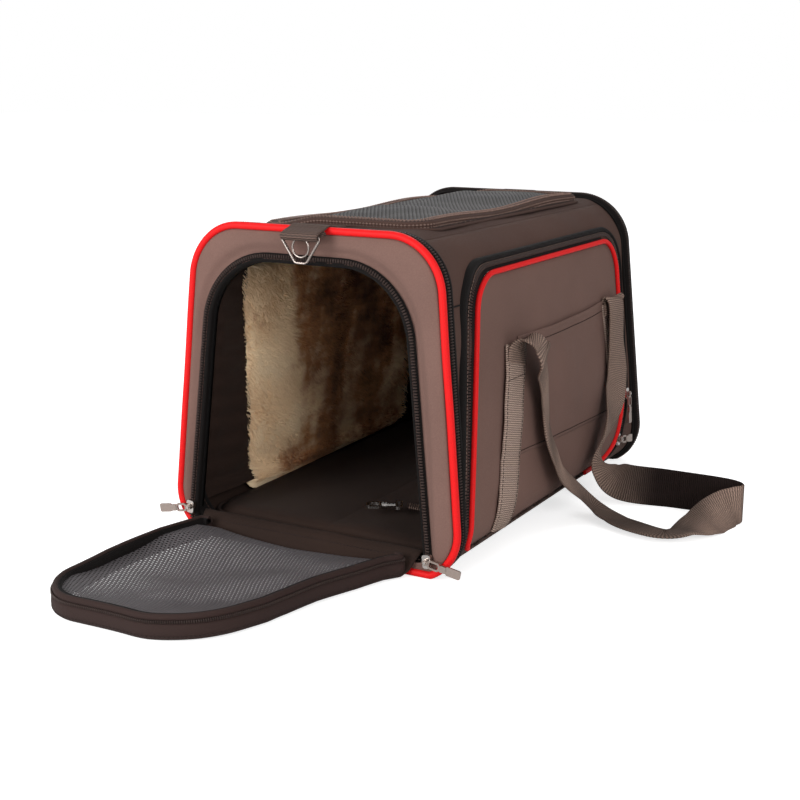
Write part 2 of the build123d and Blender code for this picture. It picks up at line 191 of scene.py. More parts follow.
def grown(outline, amount):
    """A closed counter-clockwise outline moved outwards."""
    ahead = np.roll(outline, -1, 0) - np.roll(outline, 1, 0)
    ahead /= np.linalg.norm(ahead, axis=1)[:, None]
    return outline + amount * np.stack([ahead[:, 1], -ahead[:, 0]], 1)


def polar(outline, centre, angles):
    """The outline's points seen from a centre at these angles, in degrees."""
    away = outline - np.asarray(centre)
    seen = np.degrees(np.arctan2(away[:, 1], away[:, 0])) % 360
    order = np.argsort(seen)
    at = np.asarray(angles) % 360
    return np.stack([np.interp(at, seen[order], outline[order, k], period=360) for k in (0, 1)], 1)


def stretch(outline, centre, angles, count):
    """The part of an outline between two angles, evenly spaced."""
    return resample(polar(outline, centre, np.linspace(*angles, 900)), count)


def all_round(count):
    """Evenly spread angles of a full turn, in degrees."""
    return np.linspace(0, 360, count, endpoint=False)


def inside(points, outline):
    """Which points lie inside a closed outline."""
    x, y = points[:, 0][:, None], points[:, 1][:, None]
    a, b = outline, np.roll(outline, -1, 0)
    crosses = (a[:, 1] > y) != (b[:, 1] > y)
    rise = np.where(b[:, 1] == a[:, 1], 1e-9, b[:, 1] - a[:, 1])
    at = a[:, 0] + (y - a[:, 1]) * (b[:, 0] - a[:, 0]) / rise
    return (crosses & (x < at)).sum(1) % 2 == 1


def smooth(t):
    """Smoothstep from 0 to 1."""
    t = np.clip(t, 0, 1)
    return t * t * (3 - 2 * t)


def ripple(points, size, height, seed=0.0):
    """Soft seeded unevenness for an array of points (..., 3), as heights."""
    flat = points.reshape(-1, 3) / size + seed
    values = [noise.noise(Vector(p)) for p in flat]
    return np.array(values).reshape(points.shape[:-1]) * height


# ---- the bag's surfaces --------------------------------------------------------------------------
def skin(y, s, grow=0.0):
    """Points on the fabric body: y along it, s round it from the top's middle, grown outwards."""
    y, s = np.broadcast_arrays(np.asarray(y, float), np.asarray(s, float))
    side = np.where(s < 0, -1.0, 1.0)
    a = np.abs(s)
    top = np.clip((a - S_FLAT) / TOP_R, 0, TOP_TURN)
    low = np.clip((a - S_LOW) / BOTTOM_R, 0, LOW_TURN)
    run = np.clip(a - S_SIDE, 0, SIDE_RUN)
    x = np.minimum(a, S_FLAT) + TOP_R * np.sin(top) + run * math.cos(TOP_TURN)
    x += BOTTOM_R * (np.sin(TOP_TURN + low) - math.sin(TOP_TURN)) - np.clip(a - S_BASE, 0, None)
    z = HEIGHT - TOP_R * (1 - np.cos(top)) - run * math.sin(TOP_TURN)
    z += BOTTOM_R * (np.cos(TOP_TURN + low) - math.cos(TOP_TURN))
    angle = top + low
    x, z = x + grow * np.sin(angle), z + grow * np.cos(angle)
    return np.stack([side * x, leaned(y, z), np.maximum(z, 0.3)], -1)


def leaned(y, z):
    """The y of a point of the body, with the ends leaning in towards the top."""
    share = np.clip((np.abs(y) - LEAN_FROM) / (END_Y - LEAN_FROM), 0, 1.3)
    return y - np.sign(y) * LEAN_IN * np.clip(z, 0, HEIGHT) / HEIGHT * share


def flank(y, v, out=0.0):
    """Points on the right side: y along it, v up its slope."""
    return skin(y, S_OF_V - np.asarray(v, float), out)


def section_outline(grow, count=1048):
    """The bag's cross-section as (x, z) points, counter-clockwise seen from the door end."""
    p = skin(0.0, np.linspace(S_END, -S_END, count, endpoint=False), 0.0)[:, [0, 2]]
    return grown(p, grow)


def panel_bulge(y, v):
    """How far the padded side panel stands out, by place."""
    b = np.clip((v - V_FOOT) / (PANEL[3][1] - V_FOOT), 0, 1)
    left = PANEL[0][0] + (PANEL[3][0] - PANEL[0][0]) * b
    a = np.clip((y - left) / (PANEL[2][0] - left), 0, 1)
    return BULGE * (np.sin(math.pi * a) * np.sin(math.pi * b)) ** 0.6


def panel_out(y, v):
    """The padded panel's whole relief: its bulge and its soft creases."""
    flat = flank(y, v)
    creases = ripple(flat, 48.0, 2.0, 6.0) + ripple(flat, 17.0, 0.5, 2.0)
    creases += smooth((95 - v) / 60) * 1.6 * np.sin(y / 21 + v / 9)
    swell = panel_bulge(y, v)
    return 0.4 + swell + creases * swell / BULGE


def top_sag(y, s):
    """How far the top cloth hangs down towards the left."""
    return 9.0 * smooth((-s - 15) / 55) * smooth((END_Y - np.abs(y)) / 45)


# ---- mesh building -------------------------------------------------------------------------------
class Batch:
    """Faces gathered for one piece, with UVs in metres and material numbers."""

    def __init__(self):
        self.verts, self.faces, self.uvs, self.mats, self.count = [], [], [], [], 0

    def add(self, verts, faces, uvs, mat=0):
        """verts (n, 3), faces (k, m) of indices, uvs (k, m, 2) in mm."""
        self.verts.append(np.asarray(verts, float))
        self.faces += (np.asarray(faces) + self.count).tolist()
        self.uvs.append(np.asarray(uvs, float).reshape(-1, 2) * MM)
        self.mats += [mat] * len(faces)
        self.count += len(verts)
        return self

    def grid(self, points, close_rows=False, close_cols=False, mat=0, uv=None):
        """A sheet from an array of points (rows, columns, 3)."""
        n, m = points.shape[:2]
        rows, cols = n - (not close_rows), m - (not close_cols)
        i, j = np.meshgrid(np.arange(rows), np.arange(cols), indexing="ij")
        i, j = i.ravel(), j.ravel()
        i1, j1 = (i + 1) % n, (j + 1) % m
        faces = np.stack([i * m + j, i1 * m + j, i1 * m + j1, i * m + j1], 1)
        if uv is None:
            u = np.linalg.norm(np.diff(points, axis=0, append=points[:1]), axis=2).mean(1)
            w = np.linalg.norm(np.diff(points, axis=1, append=points[:, :1]), axis=2).mean(0)
            u, w = np.concatenate([[0], np.cumsum(u)]), np.concatenate([[0], np.cumsum(w)])
            corners = [(w[j], u[i]), (w[j], u[i + 1]), (w[j + 1], u[i + 1]), (w[j + 1], u[i])]
            uvs = np.stack([np.stack(c, 1) for c in corners], 1)
        else:
            uvs = uv.reshape(-1, 2)[faces]
        return self.add(points.reshape(-1, 3), faces, uvs, mat)

    def cap(self, points, mat=0):
        """Closes both ends of a swept skin of points (n, m, 3)."""
        for ring, order in ((points[0], slice(None, None, -1)), (points[-1], slice(None))):
            face = np.arange(len(ring))[order][None]
            self.add(ring, face, ring[face][..., :2], mat)
        return self

    def sweep(self, base, out, up, profile, closed=False, mat=0):
        """A profile (m, 2) of (out, up) offsets carried along base (n, 3)."""
        profile = np.asarray(profile, float)[None]
        points = base[:, None] + out[:, None] * profile[..., :1] + up[:, None] * profile[..., 1:]
        self.grid(points, close_rows=closed, close_cols=True, mat=mat)
        return self if closed else self.cap(points, mat)

    def tube(self, path, radius, closed=False, sides=10, mat=0):
        """A round tube along a path (n, 3)."""
        out, up = frames(path, closed)
        turn = np.linspace(0, 2 * math.pi, sides, endpoint=False)
        profile = radius * np.stack([np.cos(turn), np.sin(turn)], 1)
        return self.sweep(path, out, up, profile, closed, mat)

    def prisms(self, centre, axis, other, size, mat=0):
        """Small six-sided bars: size is (length along axis, width along other, height)."""
        third = np.cross(axis, other)
        turn = np.radians(np.arange(0, 360, 60))
        ring = other[:, None] * np.cos(turn)[:, None] * size[1] / 2
        ring = ring + third[:, None] * np.sin(turn)[:, None] * size[2] / 2
        ends = axis[:, None] * size[0] / 2
        verts = np.concatenate([centre[:, None] + ring - ends, centre[:, None] + ring + ends], 1)
        base = np.arange(len(centre))[:, None, None] * 12
        k = np.arange(6)
        sides = np.stack([k, (k + 1) % 6, (k + 1) % 6 + 6, k + 6], 1)[None] + base
        self.add(verts.reshape(-1, 3), sides.reshape(-1, 4), np.zeros((sides.size, 2)), mat)
        caps = np.stack([k[::-1], k + 6])[None] + base
        self.faces += (caps.reshape(-1, 6) + self.count - len(centre) * 12).tolist()
        self.uvs.append(np.zeros((caps.size, 2)))
        self.mats += [mat] * (len(centre) * 2)
        return self

    def mirror(self):
        """The left-hand twin."""
        self.verts = [v * [-1, 1, 1] for v in self.verts]
        flipped, at, uvs = [], 0, np.concatenate(self.uvs)
        order = []
        for face in self.faces:
            flipped.append(face[::-1])
            order += range(at + len(face) - 1, at - 1, -1)
            at += len(face)
        self.faces, self.uvs = flipped, [uvs[order]]
        return self

    def build(self, name, body, materials, slot, replaces=(), solid=0.0, weld=False, blend=None):
        """Makes the object, gives it its materials and lets it ride on its body, or with blend bakes it in
        place without a body.
        """
        mesh = bpy.data.meshes.new(name)
        mesh.from_pydata((np.concatenate(self.verts) * MM).tolist(), [], self.faces)
        layer = mesh.uv_layers.new(name="UVMap")
        layer.data.foreach_set("uv", np.concatenate(self.uvs).astype(np.float32).ravel())
        mesh.polygons.foreach_set("material_index", self.mats)
        mesh.shade_smooth()
        if weld:
            work = bmesh.new()
            work.from_mesh(mesh)
            bmesh.ops.remove_doubles(work, verts=work.verts, dist=0.02 * MM)
            work.to_mesh(mesh)
            work.free()
        piece = bpy.data.objects.new(name, mesh)
        bpy.context.scene.collection.objects.link(piece)
        for material in materials:
            mesh.materials.append(material)
        if solid:
            thick = piece.modifiers.new("thickness", "SOLIDIFY")
            thick.thickness, thick.offset = solid * MM, -1.0
            thick.material_offset = 1 if LINING in materials[1:] else 0
        if blend:
            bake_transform(piece)
        else:
            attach(piece, body)
        if replaces:
            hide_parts(*replaces)
        return piece


def handed(batch, side):
    """A batch as drawn for the right side, or its left-hand twin."""
    return batch.mirror() if side == "left" else batch


def unit(v):
    """Vectors of length 1."""
    return v / np.maximum(np.linalg.norm(v, axis=-1, keepdims=True), 1e-9)


def tangents(path, closed=False):
    """The direction of travel along a path."""
    if closed:
        return unit(np.roll(path, -1, 0) - np.roll(path, 1, 0))
    return unit(np.gradient(path, axis=0))


def frames(path, closed=False):
    """Two directions across a path that turn with it and never twist."""
    ahead = tangents(path, closed)
    side = np.zeros_like(ahead)
    first = np.cross(ahead[0], [0, 0, 1.0])
    if np.linalg.norm(first) < 0.1:
        first = np.cross(ahead[0], [0, 1.0, 0])
    side[0] = unit(first)
    for i in range(1, len(ahead)):
        step = side[i - 1] - (side[i - 1] @ ahead[i]) * ahead[i]
        side[i] = unit(step)
    return side, np.cross(ahead, side)


def ring_patch(outer, inner, rings):
    """Rows of points from an outer outline to an inner one, and each row's share across."""
    share = np.linspace(0, 1, rings + 1)
    return outer[None] * (1 - share)[:, None, None] + inner[None] * share[:, None, None], share


def disc_patch(outline, centre, rings):
    """Rows of points from an outline to its centre, closer together near the edge."""
    share = 1 - np.linspace(1, 0, rings + 1) ** 1.4
    middle = np.broadcast_to(np.asarray(centre, float), outline.shape)
    return outline[None] * (1 - share)[:, None, None] + middle[None] * share[:, None, None], share


def wrapped(rows):
    """Rows with their first column repeated at the end, to close a ring."""
    return np.concatenate([rows, rows[:, :1]], 1)


def every(path, pitch, closed=False):
    """The path's points at a pitch, with the direction of travel."""
    ends = path[:1] if closed else path[:0]
    length = np.linalg.norm(np.diff(np.vstack([path, ends]), axis=0), axis=1).sum()
    points = resample(path, max(3, int(length / pitch)), closed)
    return points, tangents(points, closed)


def near(path, values, points):
    """values of the path's closest points."""
    which = ((points[:, None] - path[None]) ** 2).sum(2).argmin(1)
    return values[which]


def coil(batch, path, up, width, closed=False, mat=0, pitch=TOOTH_PITCH):
    """A zipper's chain: one small bar across the tape at each pitch."""
    points, ahead = every(path, pitch, closed)
    lift = unit(near(path, up, points))
    across = unit(np.cross(ahead, lift))
    batch.prisms(points + lift * 0.5, across, ahead, (width, pitch * 0.6, 2.0), mat)


def stitches(batch, path, up, mat=0, closed=False):
    """A row of sewn stitches lying on a surface."""
    points, ahead = every(path, STITCH_PITCH, closed)
    lift = unit(near(path, up, points))
    across = unit(np.cross(ahead, lift))
    batch.prisms(points + lift * 0.15, ahead, across, (2.3, 0.75, 0.6), mat)


def flat_profile(width, thick):
    """The section of a webbing or tape: a flat bar with rounded edges, its outer face first."""
    a, h = width / 2, thick / 2
    half = [(-a, 0), (-a + h, h), (-a / 2, h), (0, h), (a / 2, h), (a - h, h)]
    return np.array(half + [(-x, -y) for x, y in half])


def ribbon(batch, path, width_way, width=WEBBING_W, thick=WEBBING_T, rib=0.0):
    """A webbing along a path; width_way points across it at each path point."""
    ahead = tangents(path)
    across = unit(width_way - (width_way * ahead).sum(1)[:, None] * ahead)
    out = np.cross(ahead, across)
    profile = flat_profile(width, thick)
    points = path[:, None] + across[:, None] * profile[:, 0][None, :, None]
    along = np.concatenate([[0], np.cumsum(np.linalg.norm(np.diff(path, axis=0), axis=1))])
    swell = 1 + rib * np.sin(along * 2 * math.pi / RIB_PITCH)
    points = points + out[:, None] * profile[:, 1][None, :, None] * swell[:, None, None]
    batch.grid(points, close_cols=True)
    batch.cap(points)
    return out


def honeycomb(outline, pitch, hole):
    """A net with hexagonal holes inside an outline: vertices (n, 2) and its quads."""
    low, high = outline.min(0), outline.max(0)
    rows = np.arange(low[1], high[1], pitch * math.sqrt(3) / 2)
    cells = []
    for k, y in enumerate(rows):
        x = np.arange(low[0] + (k % 2) * pitch / 2, high[0], pitch)
        cells.append(np.stack([x, np.full_like(x, y)], 1))
    cells = np.concatenate(cells)
    cells = cells[inside(cells, outline)]
    turn = np.radians(np.arange(30, 390, 60))
    corner = np.stack([np.cos(turn), np.sin(turn)], 1) * pitch / math.sqrt(3)
    outer = cells[:, None] + corner[None]
    keys, index = np.unique(np.round(outer.reshape(-1, 2), 2), axis=0, return_inverse=True)
    index = index.reshape(-1, 6)
    hole = np.broadcast_to(hole(cells) if callable(hole) else hole, len(cells))
    inner = cells[:, None] + corner[None] * hole[:, None, None]
    verts = np.vstack([keys, inner.reshape(-1, 2)])
    inner_index = len(keys) + np.arange(len(cells) * 6).reshape(-1, 6)
    a, b = index, np.roll(index, -1, 1)
    c, d = np.roll(inner_index, -1, 1), inner_index
    return verts, np.stack([a, b, c, d], 2).reshape(-1, 4)


def net(batch, outline, place, hole=0.62):
    """A mesh cloth with real holes, each vertex put in place by place(x, y)."""
    flat, quads = honeycomb(outline, NET_PITCH, hole)
    batch.add(place(flat[:, 0], flat[:, 1]), quads, flat[quads])


# ---- materials -----------------------------------------------------------------------------------
class Shader:
    """A Principled material being put together from nodes."""

    def __init__(self, name, **sockets):
        self.material = bpy.data.materials.new(name)
        self.material.use_nodes = True
        self.nodes, self.links = self.material.node_tree.nodes, self.material.node_tree.links
        self.surface = self.nodes["Principled BSDF"]
        for key, value in sockets.items():
            self.surface.inputs[key.replace("_", " ")].default_value = value
        self.coords = self.nodes.new("ShaderNodeTexCoord")

    def link(self, start, end):
        """Joins an output socket to an input socket."""
        self.links.new(start, end)

    def noise(self, scale, detail=3.0, stretch=None):
        """A noise texture's factor in object space, its scale per metre."""
        node = self.nodes.new("ShaderNodeTexNoise")
        node.inputs["Scale"].default_value = scale
        node.inputs["Detail"].default_value = detail
        start = self.coords.outputs["Object"]
        if stretch:
            warp = self.nodes.new("ShaderNodeMapping")
            warp.inputs["Scale"].default_value = stretch
            self.link(start, warp.inputs["Vector"])
            start = warp.outputs["Vector"]
        self.link(start, node.inputs["Vector"])
        return node.outputs["Fac"]

    def math(self, operation, a, b=None):
        """A Math node on sockets or numbers."""
        node = self.nodes.new("ShaderNodeMath")
        node.operation = operation
        for k, value in enumerate((a, b)):
            if value is None:
                continue
            if isinstance(value, (int, float)):
                node.inputs[k].default_value = value
            else:
                self.link(value, node.inputs[k])
        return node.outputs[0]

    def uv(self):
        """The UV coordinates in metres, across and along."""
        split = self.nodes.new("ShaderNodeSeparateXYZ")
        self.link(self.coords.outputs["UV"], split.inputs[0])
        return split.outputs[0], split.outputs[1]

    def place(self):
        """The rest position's three coordinates in metres."""
        split = self.nodes.new("ShaderNodeSeparateXYZ")
        self.link(self.coords.outputs["Object"], split.inputs[0])
        return split.outputs

    def wave(self, along, pitch):
        """A sine of a coordinate with this pitch in metres."""
        return self.math("SINE", self.math("MULTIPLY", along, 2 * math.pi / pitch))

    def ramp(self, factor, stops):
        """Colour by factor: stops are (position, sRGB colour 0-255)."""
        node = self.nodes.new("ShaderNodeValToRGB")
        while len(node.color_ramp.elements) < len(stops):
            node.color_ramp.elements.new(0.5)
        for element, (at, colour) in zip(node.color_ramp.elements, stops):
            element.position, element.color = at, linear(colour)
        self.link(factor, node.inputs["Fac"])
        return node.outputs["Color"]

    def fade(self, value, start, end):
        """0 up to start, 1 from end on, smooth between."""
        node = self.nodes.new("ShaderNodeMapRange")
        node.interpolation_type = "SMOOTHSTEP"
        node.inputs["From Min"].default_value, node.inputs["From Max"].default_value = start, end
        self.link(value, node.inputs["Value"])
        return node.outputs[0]

    def mix(self, factor, first, second):
        """Blends two colours by a factor."""
        node = self.nodes.new("ShaderNodeMixRGB")
        self.link(factor, node.inputs["Fac"])
        self.link(first, node.inputs["Color1"])
        self.link(second, node.inputs["Color2"])
        return node.outputs["Color"]

    def colour(self, socket):
        """Sets the surface's base colour."""
        self.link(socket, self.surface.inputs["Base Color"])

    def rough(self, factor, low, high):
        """Roughness that varies between two values."""
        node = self.nodes.new("ShaderNodeMapRange")
        node.inputs["To Min"].default_value, node.inputs["To Max"].default_value = low, high
        self.link(factor, node.inputs["Value"])
        self.link(node.outputs[0], self.surface.inputs["Roughness"])

    def bump(self, height, depth, strength=1.0):
        """Adds relief of this depth in metres on top of what there is."""
        node = self.nodes.new("ShaderNodeBump")
        node.inputs["Distance"].default_value = depth
        node.inputs["Strength"].default_value = strength
        self.link(height, node.inputs["Height"])
        old = self.surface.inputs["Normal"].links
        if old:
            self.link(old[0].from_socket, node.inputs["Normal"])
        self.link(node.outputs[0], self.surface.inputs["Normal"])


def linear(colour):
    """An sRGB colour, 0-255, as linear RGBA."""
    c = np.asarray(colour, float) / 255
    c = np.where(c < 0.04045, c / 12.92, ((c + 0.055) / 1.055) ** 2.4)
    return (*c, 1.0)


def tones(colour, spread):
    """A darker, a middle and a lighter tone of a colour as ramp stops."""
    c = np.asarray(colour, float)
    return [(0.25, c * (1 - spread)), (0.5, c), (0.75, np.minimum(c * (1 + spread), 255))]


def woven(name, colour, pitch=0.9, depth=0.00012, spread=0.1, roughness=0.86):
    """A plain-woven polyester: crossing threads, slubs and slow changes of tone."""
    m = Shader(name, Roughness=roughness, Specular_IOR_Level=0.16, Sheen_Weight=0.02)
    across, along = m.uv()
    threads = m.math("MULTIPLY", m.wave(across, pitch * MM), m.wave(along, pitch * MM))
    fibre = m.noise(900.0, 4.0)
    mixed = m.math("ADD", m.math("MULTIPLY", m.noise(9.0), 0.5), m.math("MULTIPLY", fibre, 0.5))
    m.colour(m.ramp(mixed, tones(colour, spread)))
    m.rough(fibre, roughness - 0.08, min(1.0, roughness + 0.08))
    m.bump(threads, depth, 0.6)
    m.bump(fibre, depth, 0.5)
    m.bump(m.noise(28.0, 2.0), 0.0012, 0.35)
    return m.material


def webbing(name, colour, dark=None):
    """Ribbed webbing; the stretch that lies out on the floor can be given painted shade, near black on the
    rear part of that stretch.
    """
    m = Shader(name, Roughness=0.75, Specular_IOR_Level=0.2)
    across, along = m.uv()
    chevron = m.math("ABSOLUTE", m.wave(across, 9.5 * MM))
    slanted = m.math("ADD", along, m.math("MULTIPLY", chevron, 0.4 * MM))
    ribs = m.wave(slanted, RIB_PITCH * MM)
    yarn = m.noise(1500.0, 2.0)
    tone = m.math("ADD", m.math("MULTIPLY", ribs, 0.2), m.math("MULTIPLY", yarn, 0.5))
    tone = m.math("ADD", tone, 0.25)
    light = m.ramp(tone, tones(colour, 0.3))
    if dark:
        sideways, lengthwise, _ = m.place()
        away = m.math("ABSOLUTE", sideways)
        # painted shade: by place, the stretch lying on the floor is darkened to 0.7 of its colour
        lying = m.math("MULTIPLY", m.fade(away, 0.16, 0.2), m.fade(away, 0.298, 0.275))
        shade = np.asarray(colour) * 0.7
        light = m.mix(lying, light, m.ramp(tone, tones(shade, 0.3)))
        # painted shadow: the rear part of the lying stretch turns to the dark colour
        rear = m.math("MULTIPLY", m.fade(away, 0.185, 0.225), m.fade(lengthwise, 0.052, 0.062))
        light = m.mix(rear, light, m.ramp(tone, tones(dark, 0.3)))
    m.colour(light)
    m.rough(yarn, 0.6, 0.9)
    m.bump(ribs, 0.0005, 0.9)
    m.bump(yarn, 0.0001, 0.5)
    return m.material


def piping_cloth(name, colour):
    """Tight red cloth over a cord: fine cross threads and a slight shine."""
    m = Shader(name, Roughness=0.6, Specular_IOR_Level=0.15)
    threads = m.noise(1400.0, 2.0)
    m.colour(m.ramp(threads, tones(colour, 0.07)))
    m.rough(threads, 0.42, 0.62)
    m.bump(threads, 0.00012, 0.6)
    m.bump(m.noise(60.0, 2.0), 0.0008, 0.3)
    return m.material


def moulded(name, colour, roughness=0.4):
    """Nylon coil or plastic-coated mesh: faint mottling and a soft shine."""
    m = Shader(name, Roughness=roughness, Specular_IOR_Level=0.25)
    grain = m.noise(700.0, 3.0)
    m.colour(m.ramp(grain, tones(colour, 0.15)))
    m.rough(grain, roughness - 0.08, roughness + 0.12)
    m.bump(grain, 0.00008, 0.4)
    return m.material


def metal(name, colour, roughness, brushed=False):
    """Plated metal with fine handling marks."""
    m = Shader(name, Metallic=1.0, Roughness=roughness)
    marks = m.noise(900.0, 4.0, stretch=(1.0, 14.0, 1.0) if brushed else None)
    m.colour(m.ramp(marks, tones(colour, 0.06)))
    m.rough(marks, max(0.05, roughness - 0.08), roughness + 0.14)
    m.bump(marks, 0.00005, 0.25)
    return m.material


def fleece_cloth(name):
    """Plush pile in cream and brown clouds, with painted shade that darkens it away from the door, towards
    the rear.
    """
    m = Shader(name, Roughness=0.95, Specular_IOR_Level=0.1, Sheen_Weight=0.12)
    clouds = m.noise(13.0, 4.0, stretch=(1.0, 1.4, 0.7))
    streaks = m.noise(55.0, 3.0, stretch=(1.0, 0.6, 1.6))
    _, lengthwise, up = m.place()
    # painted shade: the pile's tone drops towards the rear, deeper in the bag
    painted_depth_shade = m.math("MULTIPLY", m.fade(lengthwise, -0.16, 0.0), 0.42)
    low = m.math("MULTIPLY", m.fade(up, 0.17, 0.06), 0.14)
    tone = m.math("ADD", m.math("MULTIPLY", clouds, 1.5), m.math("MULTIPLY", streaks, 0.5))
    tone = m.math("ADD", m.math("SUBTRACT", tone, painted_depth_shade), low)
    m.colour(m.ramp(tone, [(0.36, (104, 58, 30)), (0.66, (196, 138, 90)), (0.92, (255, 226, 186))]))
    m.bump(m.noise(500.0, 4.0), 0.0012, 0.8)
    return m.material


FRONT_CLOTH = woven("front_cloth", (116, 89, 81))
BODY_CLOTH = woven("body_cloth", (108, 83, 75))
# painted shade: the side and top covers are the body's cloth in darker tones, for faces that get less light
SHADED_SIDE_CLOTH = woven("shaded_side_cloth", (78, 57, 50))
SHADED_TOP_CLOTH = woven("shaded_top_cloth", (72, 53, 47))
LINING = woven("lining_cloth", (44, 30, 24), pitch=0.5, roughness=0.7, spread=0.15)
TAPE = woven("zipper_tape_cloth", (13, 7, 6), pitch=0.6, roughness=0.8, spread=0.2)
BINDING = woven("binding_cloth", (74, 55, 49), pitch=0.7, roughness=0.8)
RIM_CLOTH = woven("rim_cloth", (50, 36, 33), pitch=0.7, roughness=0.75)
BLACK_FOLD = woven("fold_cloth", (10, 5, 4), pitch=0.5, roughness=0.7, spread=0.2)
GUSSET = woven("gusset_cloth", (44, 34, 31), pitch=1.6, depth=0.0004, roughness=0.75)
RED = piping_cloth("red_piping_cloth", (216, 22, 24))
COIL = moulded("coil_nylon", (58, 45, 41), 0.5)
NET = moulded("mesh_yarn", (24, 18, 18), 0.6)
DOOR_NET = moulded("door_mesh_yarn", (88, 84, 86), 0.6)
THREAD = moulded("thread", (128, 104, 94), 0.7)
DARK_THREAD = moulded("dark_thread", (40, 28, 25), 0.7)
WEB = webbing("webbing_sewn", (160, 138, 126))
# the dark tone is painted shadow on the rear lying stretch of the handle
HANDLE_WEB = webbing("webbing_handle", (128, 107, 96), dark=(30, 19, 16))
TAB_WEB = webbing("webbing_tab", (88, 71, 64))
FLEECE = fleece_cloth("fleece_plush")
CHROME = metal("chrome_plate", (205, 200, 196), 0.2)
RING_METAL = metal("ring_plate", (150, 140, 134), 0.24)
SATIN = metal("satin_pull", (168, 154, 146), 0.36, brushed=True)
STEEL = metal("spring_steel", (120, 120, 124), 0.35, brushed=True)
BOARD = moulded("black_board", (34, 31, 30), 0.8)


# ---- camera, floor and light ---------------------------------------------------------------------
def make_stage():
    """The camera at the reference angle, a white sweep of floor and soft studio lights."""
    scene = bpy.context.scene
    scene.view_settings.view_transform = "Standard"
    lens = bpy.data.cameras.new("camera")
    lens.lens, lens.sensor_width = 60.3, 36.0
    lens.clip_start, lens.clip_end = 0.05, 50.0
    camera = bpy.data.objects.new("camera", lens)
    camera.location = (0.632, -1.171, 0.416)
    aim = Vector((-0.0335, 0.0, 0.0931)) - camera.location
    camera.rotation_euler = aim.to_track_quat("-Z", "Y").to_euler()
    scene.collection.objects.link(camera)
    scene.camera = camera

    size = 12.0
    floor_mesh = bpy.data.meshes.new("floor")
    corners = [(-size, -size, 0), (size, -size, 0), (size, size, 0), (-size, size, 0)]
    floor_mesh.from_pydata(corners, [], [(0, 1, 2, 3)])
    floor = bpy.data.objects.new("floor", floor_mesh)
    scene.collection.objects.link(floor)
    paper = Shader("white_paper", Roughness=0.9)
    paper.surface.inputs["Base Color"].default_value = (0.82, 0.82, 0.82, 1)
    paper.surface.inputs["Emission Color"].default_value = (1, 1, 1, 1)
    seen = paper.nodes.new("ShaderNodeLightPath").outputs["Is Camera Ray"]
    paper.link(paper.math("MULTIPLY", seen, 0.68), paper.surface.inputs["Emission Strength"])
    paper.bump(paper.noise(40.0), 0.0002, 0.05)
    floor_mesh.materials.append(paper.material)

    world = bpy.data.worlds.new("studio")
    world.use_nodes = True
    scene.world = world
    nodes, links = world.node_tree.nodes, world.node_tree.links
    back = nodes["Background"]
    back.inputs["Color"].default_value = (1, 1, 1, 1)
    path = nodes.new("ShaderNodeLightPath")
    level = nodes.new("ShaderNodeMapRange")
    level.inputs["To Min"].default_value, level.inputs["To Max"].default_value = 0.42, 1.0
    links.new(path.outputs["Is Camera Ray"], level.inputs["Value"])
    links.new(level.outputs[0], back.inputs["Strength"])

    lamps = (
        ("key_softbox", (-0.9, -2.2, 0.9), 46.0, 1.2),
        ("fill_softbox", (2.0, -1.4, 1.1), 26.0, 1.2),
        ("top_softbox", (0.2, 0.4, 2.4), 9.0, 1.6),
        ("back_softbox", (-1.2, 2.2, 1.6), 16.0, 1.4),
    )
    for name, place, power, width in lamps:
        light = bpy.data.lights.new(name, "AREA")
        light.energy, light.size = power, width
        lamp = bpy.data.objects.new(name, light)
        lamp.location = place
        lamp.rotation_euler = (Vector((0, 0, 0.12)) - lamp.location).to_track_quat("-Z", "Y").to_euler()
        scene.collection.objects.link(lamp)


# ---- body covers ---------------------------------------------------------------------------------
def door_opening(grow=0.0):
    """The door opening's outline as (x, z)."""
    corners = [(DOOR_LOW[0], DOOR_Z[0]), (DOOR_LOW[1], DOOR_Z[0]),
               (DOOR_HIGH[1], DOOR_Z[1]), (DOOR_HIGH[0], DOOR_Z[1])]
    return grown(rounded(corners, [DOOR_FOOT_R, DOOR_FOOT_R, DOOR_R, DOOR_R]), grow)


def flap_outline(shrink=0.0):
    """The top flap's outline as (x, y)."""
    x, y0, y1 = FLAP
    corners = [(-x, y0), (x, y0), (x, y1), (-x, y1)]
    return grown(rounded(corners, [FLAP_R] * 4), -shrink)


def panel_outline(grow=0.0):
    """The side panel's outline as (y, v)."""
    return grown(rounded(PANEL, PANEL_R), grow)


def with_corners(angles_of, centre, count):
    """Evenly spread angles in degrees that also hit the given corner points."""
    corner = [math.degrees(math.atan2(b - centre[1], a - centre[0])) % 360 for a, b in angles_of]
    return np.sort(np.concatenate([all_round(count), corner]))


def make_top_cover():
    """The top cloth, with the flap's opening cut out of it."""
    rect = [(-END_Y, -S_TOP_SEAM), (END_Y, -S_TOP_SEAM), (END_Y, S_TOP_SEAM), (-END_Y, S_TOP_SEAM)]
    centre = (0.0, 0.0)
    angles = with_corners(rect, centre, 300)
    outer = polar(resample(rect, 4000, closed=True), centre, angles)
    inner = polar(flap_outline(FLAP_BAND)[:, ::-1][::-1], centre, angles)
    rows, _ = ring_patch(outer, inner, 14)
    y, s = rows[..., 0], rows[..., 1]
    flat = skin(y, s)
    push = ripple(flat, 55.0, 2.2, 3.0) + ripple(flat, 20.0, 0.5, 9.0)
    edge = smooth((END_Y - np.abs(y)) / 18) * smooth((S_TOP_SEAM - np.abs(s)) / 12)
    points = skin(y, s, push * edge - top_sag(y, s) * edge)
    batch = Batch().grid(wrapped(points), uv=wrapped(np.stack([s, y], -1)))
    top = batch.build("top_cover", "carrier", [SHADED_TOP_CLOTH, LINING], "body_fabric", ("top_border",),
                      solid=2.2, weld=True)

